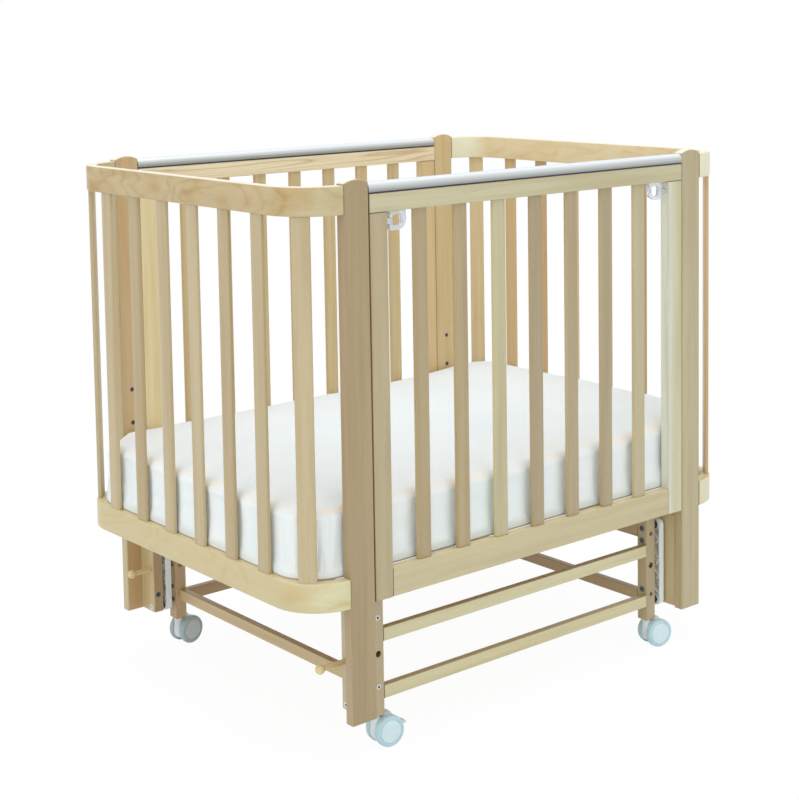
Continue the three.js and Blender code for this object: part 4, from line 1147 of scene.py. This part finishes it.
PHOTO_SIDE, PHOTO_MIDDLE, SENSOR = 800, (399.5, 400.0), 36.0
FOCAL_PIXELS, LENS_CENTRE = 1641.11, (416.32, 174.41)
CAMERA_PLACE, CAMERA_YAW, CAMERA_PITCH, CAMERA_ROLL = (
    (-1.82636, -2.22649, 1.1105), 39.8, -5.12, -0.85)
LAMPS = (
    ("above", (-0.4, -0.5, 3.6), 3.2, 40.0, (1.0, 1.0, 1.0)),
    ("left", (-3.4, -0.6, 1.5), 2.4, 8.0, (1.0, 0.98, 0.95)),
    ("front", (-1.2, -3.6, 0.9), 3.0, 7.0, (1.0, 1.0, 1.0)),
)
LAMP_AIM, SKY, SKY_STRENGTH = (0, 0, 0.5), (0.97, 0.985, 1.0, 1), 0.8
FLOOR_HALF, FLOOR_WHITE, FLOOR_GLOW, FLOOR_SHARE = 14.0, 0.92, 1.02, 0.93


def build_camera():
    data = bpy.data.cameras.new("camera")
    data.sensor_width = SENSOR
    data.lens = FOCAL_PIXELS * SENSOR / PHOTO_SIDE
    data.shift_x = -(LENS_CENTRE[0] - PHOTO_MIDDLE[0]) / PHOTO_SIDE
    data.shift_y = (LENS_CENTRE[1] - PHOTO_MIDDLE[1]) / PHOTO_SIDE
    data.clip_start, data.clip_end = 0.05, 60.0
    yaw, pitch, roll = (math.radians(a) for a in (CAMERA_YAW, CAMERA_PITCH, CAMERA_ROLL))
    forward = Vector((math.sin(yaw) * math.cos(pitch), math.cos(yaw) * math.cos(pitch),
                      math.sin(pitch)))
    right = forward.cross(Vector((0, 0, 1))).normalized()
    up = right.cross(forward)
    turned = right * math.cos(roll) + up * math.sin(roll)
    up = up * math.cos(roll) - right * math.sin(roll)
    rotation = Matrix((turned, up, -forward)).transposed()
    camera = placed("camera", data)
    camera.matrix_world = Matrix.Translation(Vector(CAMERA_PLACE)) @ rotation.to_4x4()
    bpy.context.scene.camera = camera


def plain_to_lens(g, shown, strength=1.0):
    """Shows a plain white shader to camera, mirror and clear rays, and keeps the
    tree's own shader for all the rest."""
    path = g.node("LightPath").outputs
    seen = path["Is Camera Ray"]
    for ray in ("Is Glossy Ray", "Is Transmission Ray"):
        seen = g.math("MAXIMUM", seen, path[ray])
    g.show(g.times(seen, strength), shown)


def build_floor():
    """A white floor that keeps the object's shadow."""
    bm = bmesh.new()
    bmesh.ops.create_grid(bm, x_segments=1, y_segments=1, size=FLOOR_HALF)
    data = bpy.data.meshes.new("floor")
    bm.to_mesh(data)
    bm.free()
    white = (FLOOR_WHITE, FLOOR_WHITE, FLOOR_WHITE, 1)
    g = new_look("floor_white", Base_Color=white, Roughness=0.9, Specular_IOR_Level=0.0)
    plain_to_lens(g, g.add("Emission", Strength=FLOOR_GLOW), FLOOR_SHARE)
    data.materials.append(g.owner)
    placed("floor", data)


def build_light():
    """An even sky with soft lamps above, to the left and in front."""
    world = bpy.data.worlds.new("studio")
    bpy.context.scene.world = world
    g = Graph(world, "Background", Color=SKY, Strength=SKY_STRENGTH)
    plain_to_lens(g, g.add("Background", Color=(1, 1, 1, 1)))
    for name, place, size, power, color in LAMPS:
        light = bpy.data.lights.new(name, "AREA")
        light.shape = "DISK"
        light.size = size
        light.energy = power
        light.color = color
        made = placed(name, light)
        made.location = place
        made.rotation_mode = "QUATERNION"
        made.rotation_quaternion = (Vector(LAMP_AIM) - Vector(place)).to_track_quat("-Z", "Y")
    bpy.context.scene.view_settings.view_transform = "Standard"


build_camera()
build_floor()
build_light()
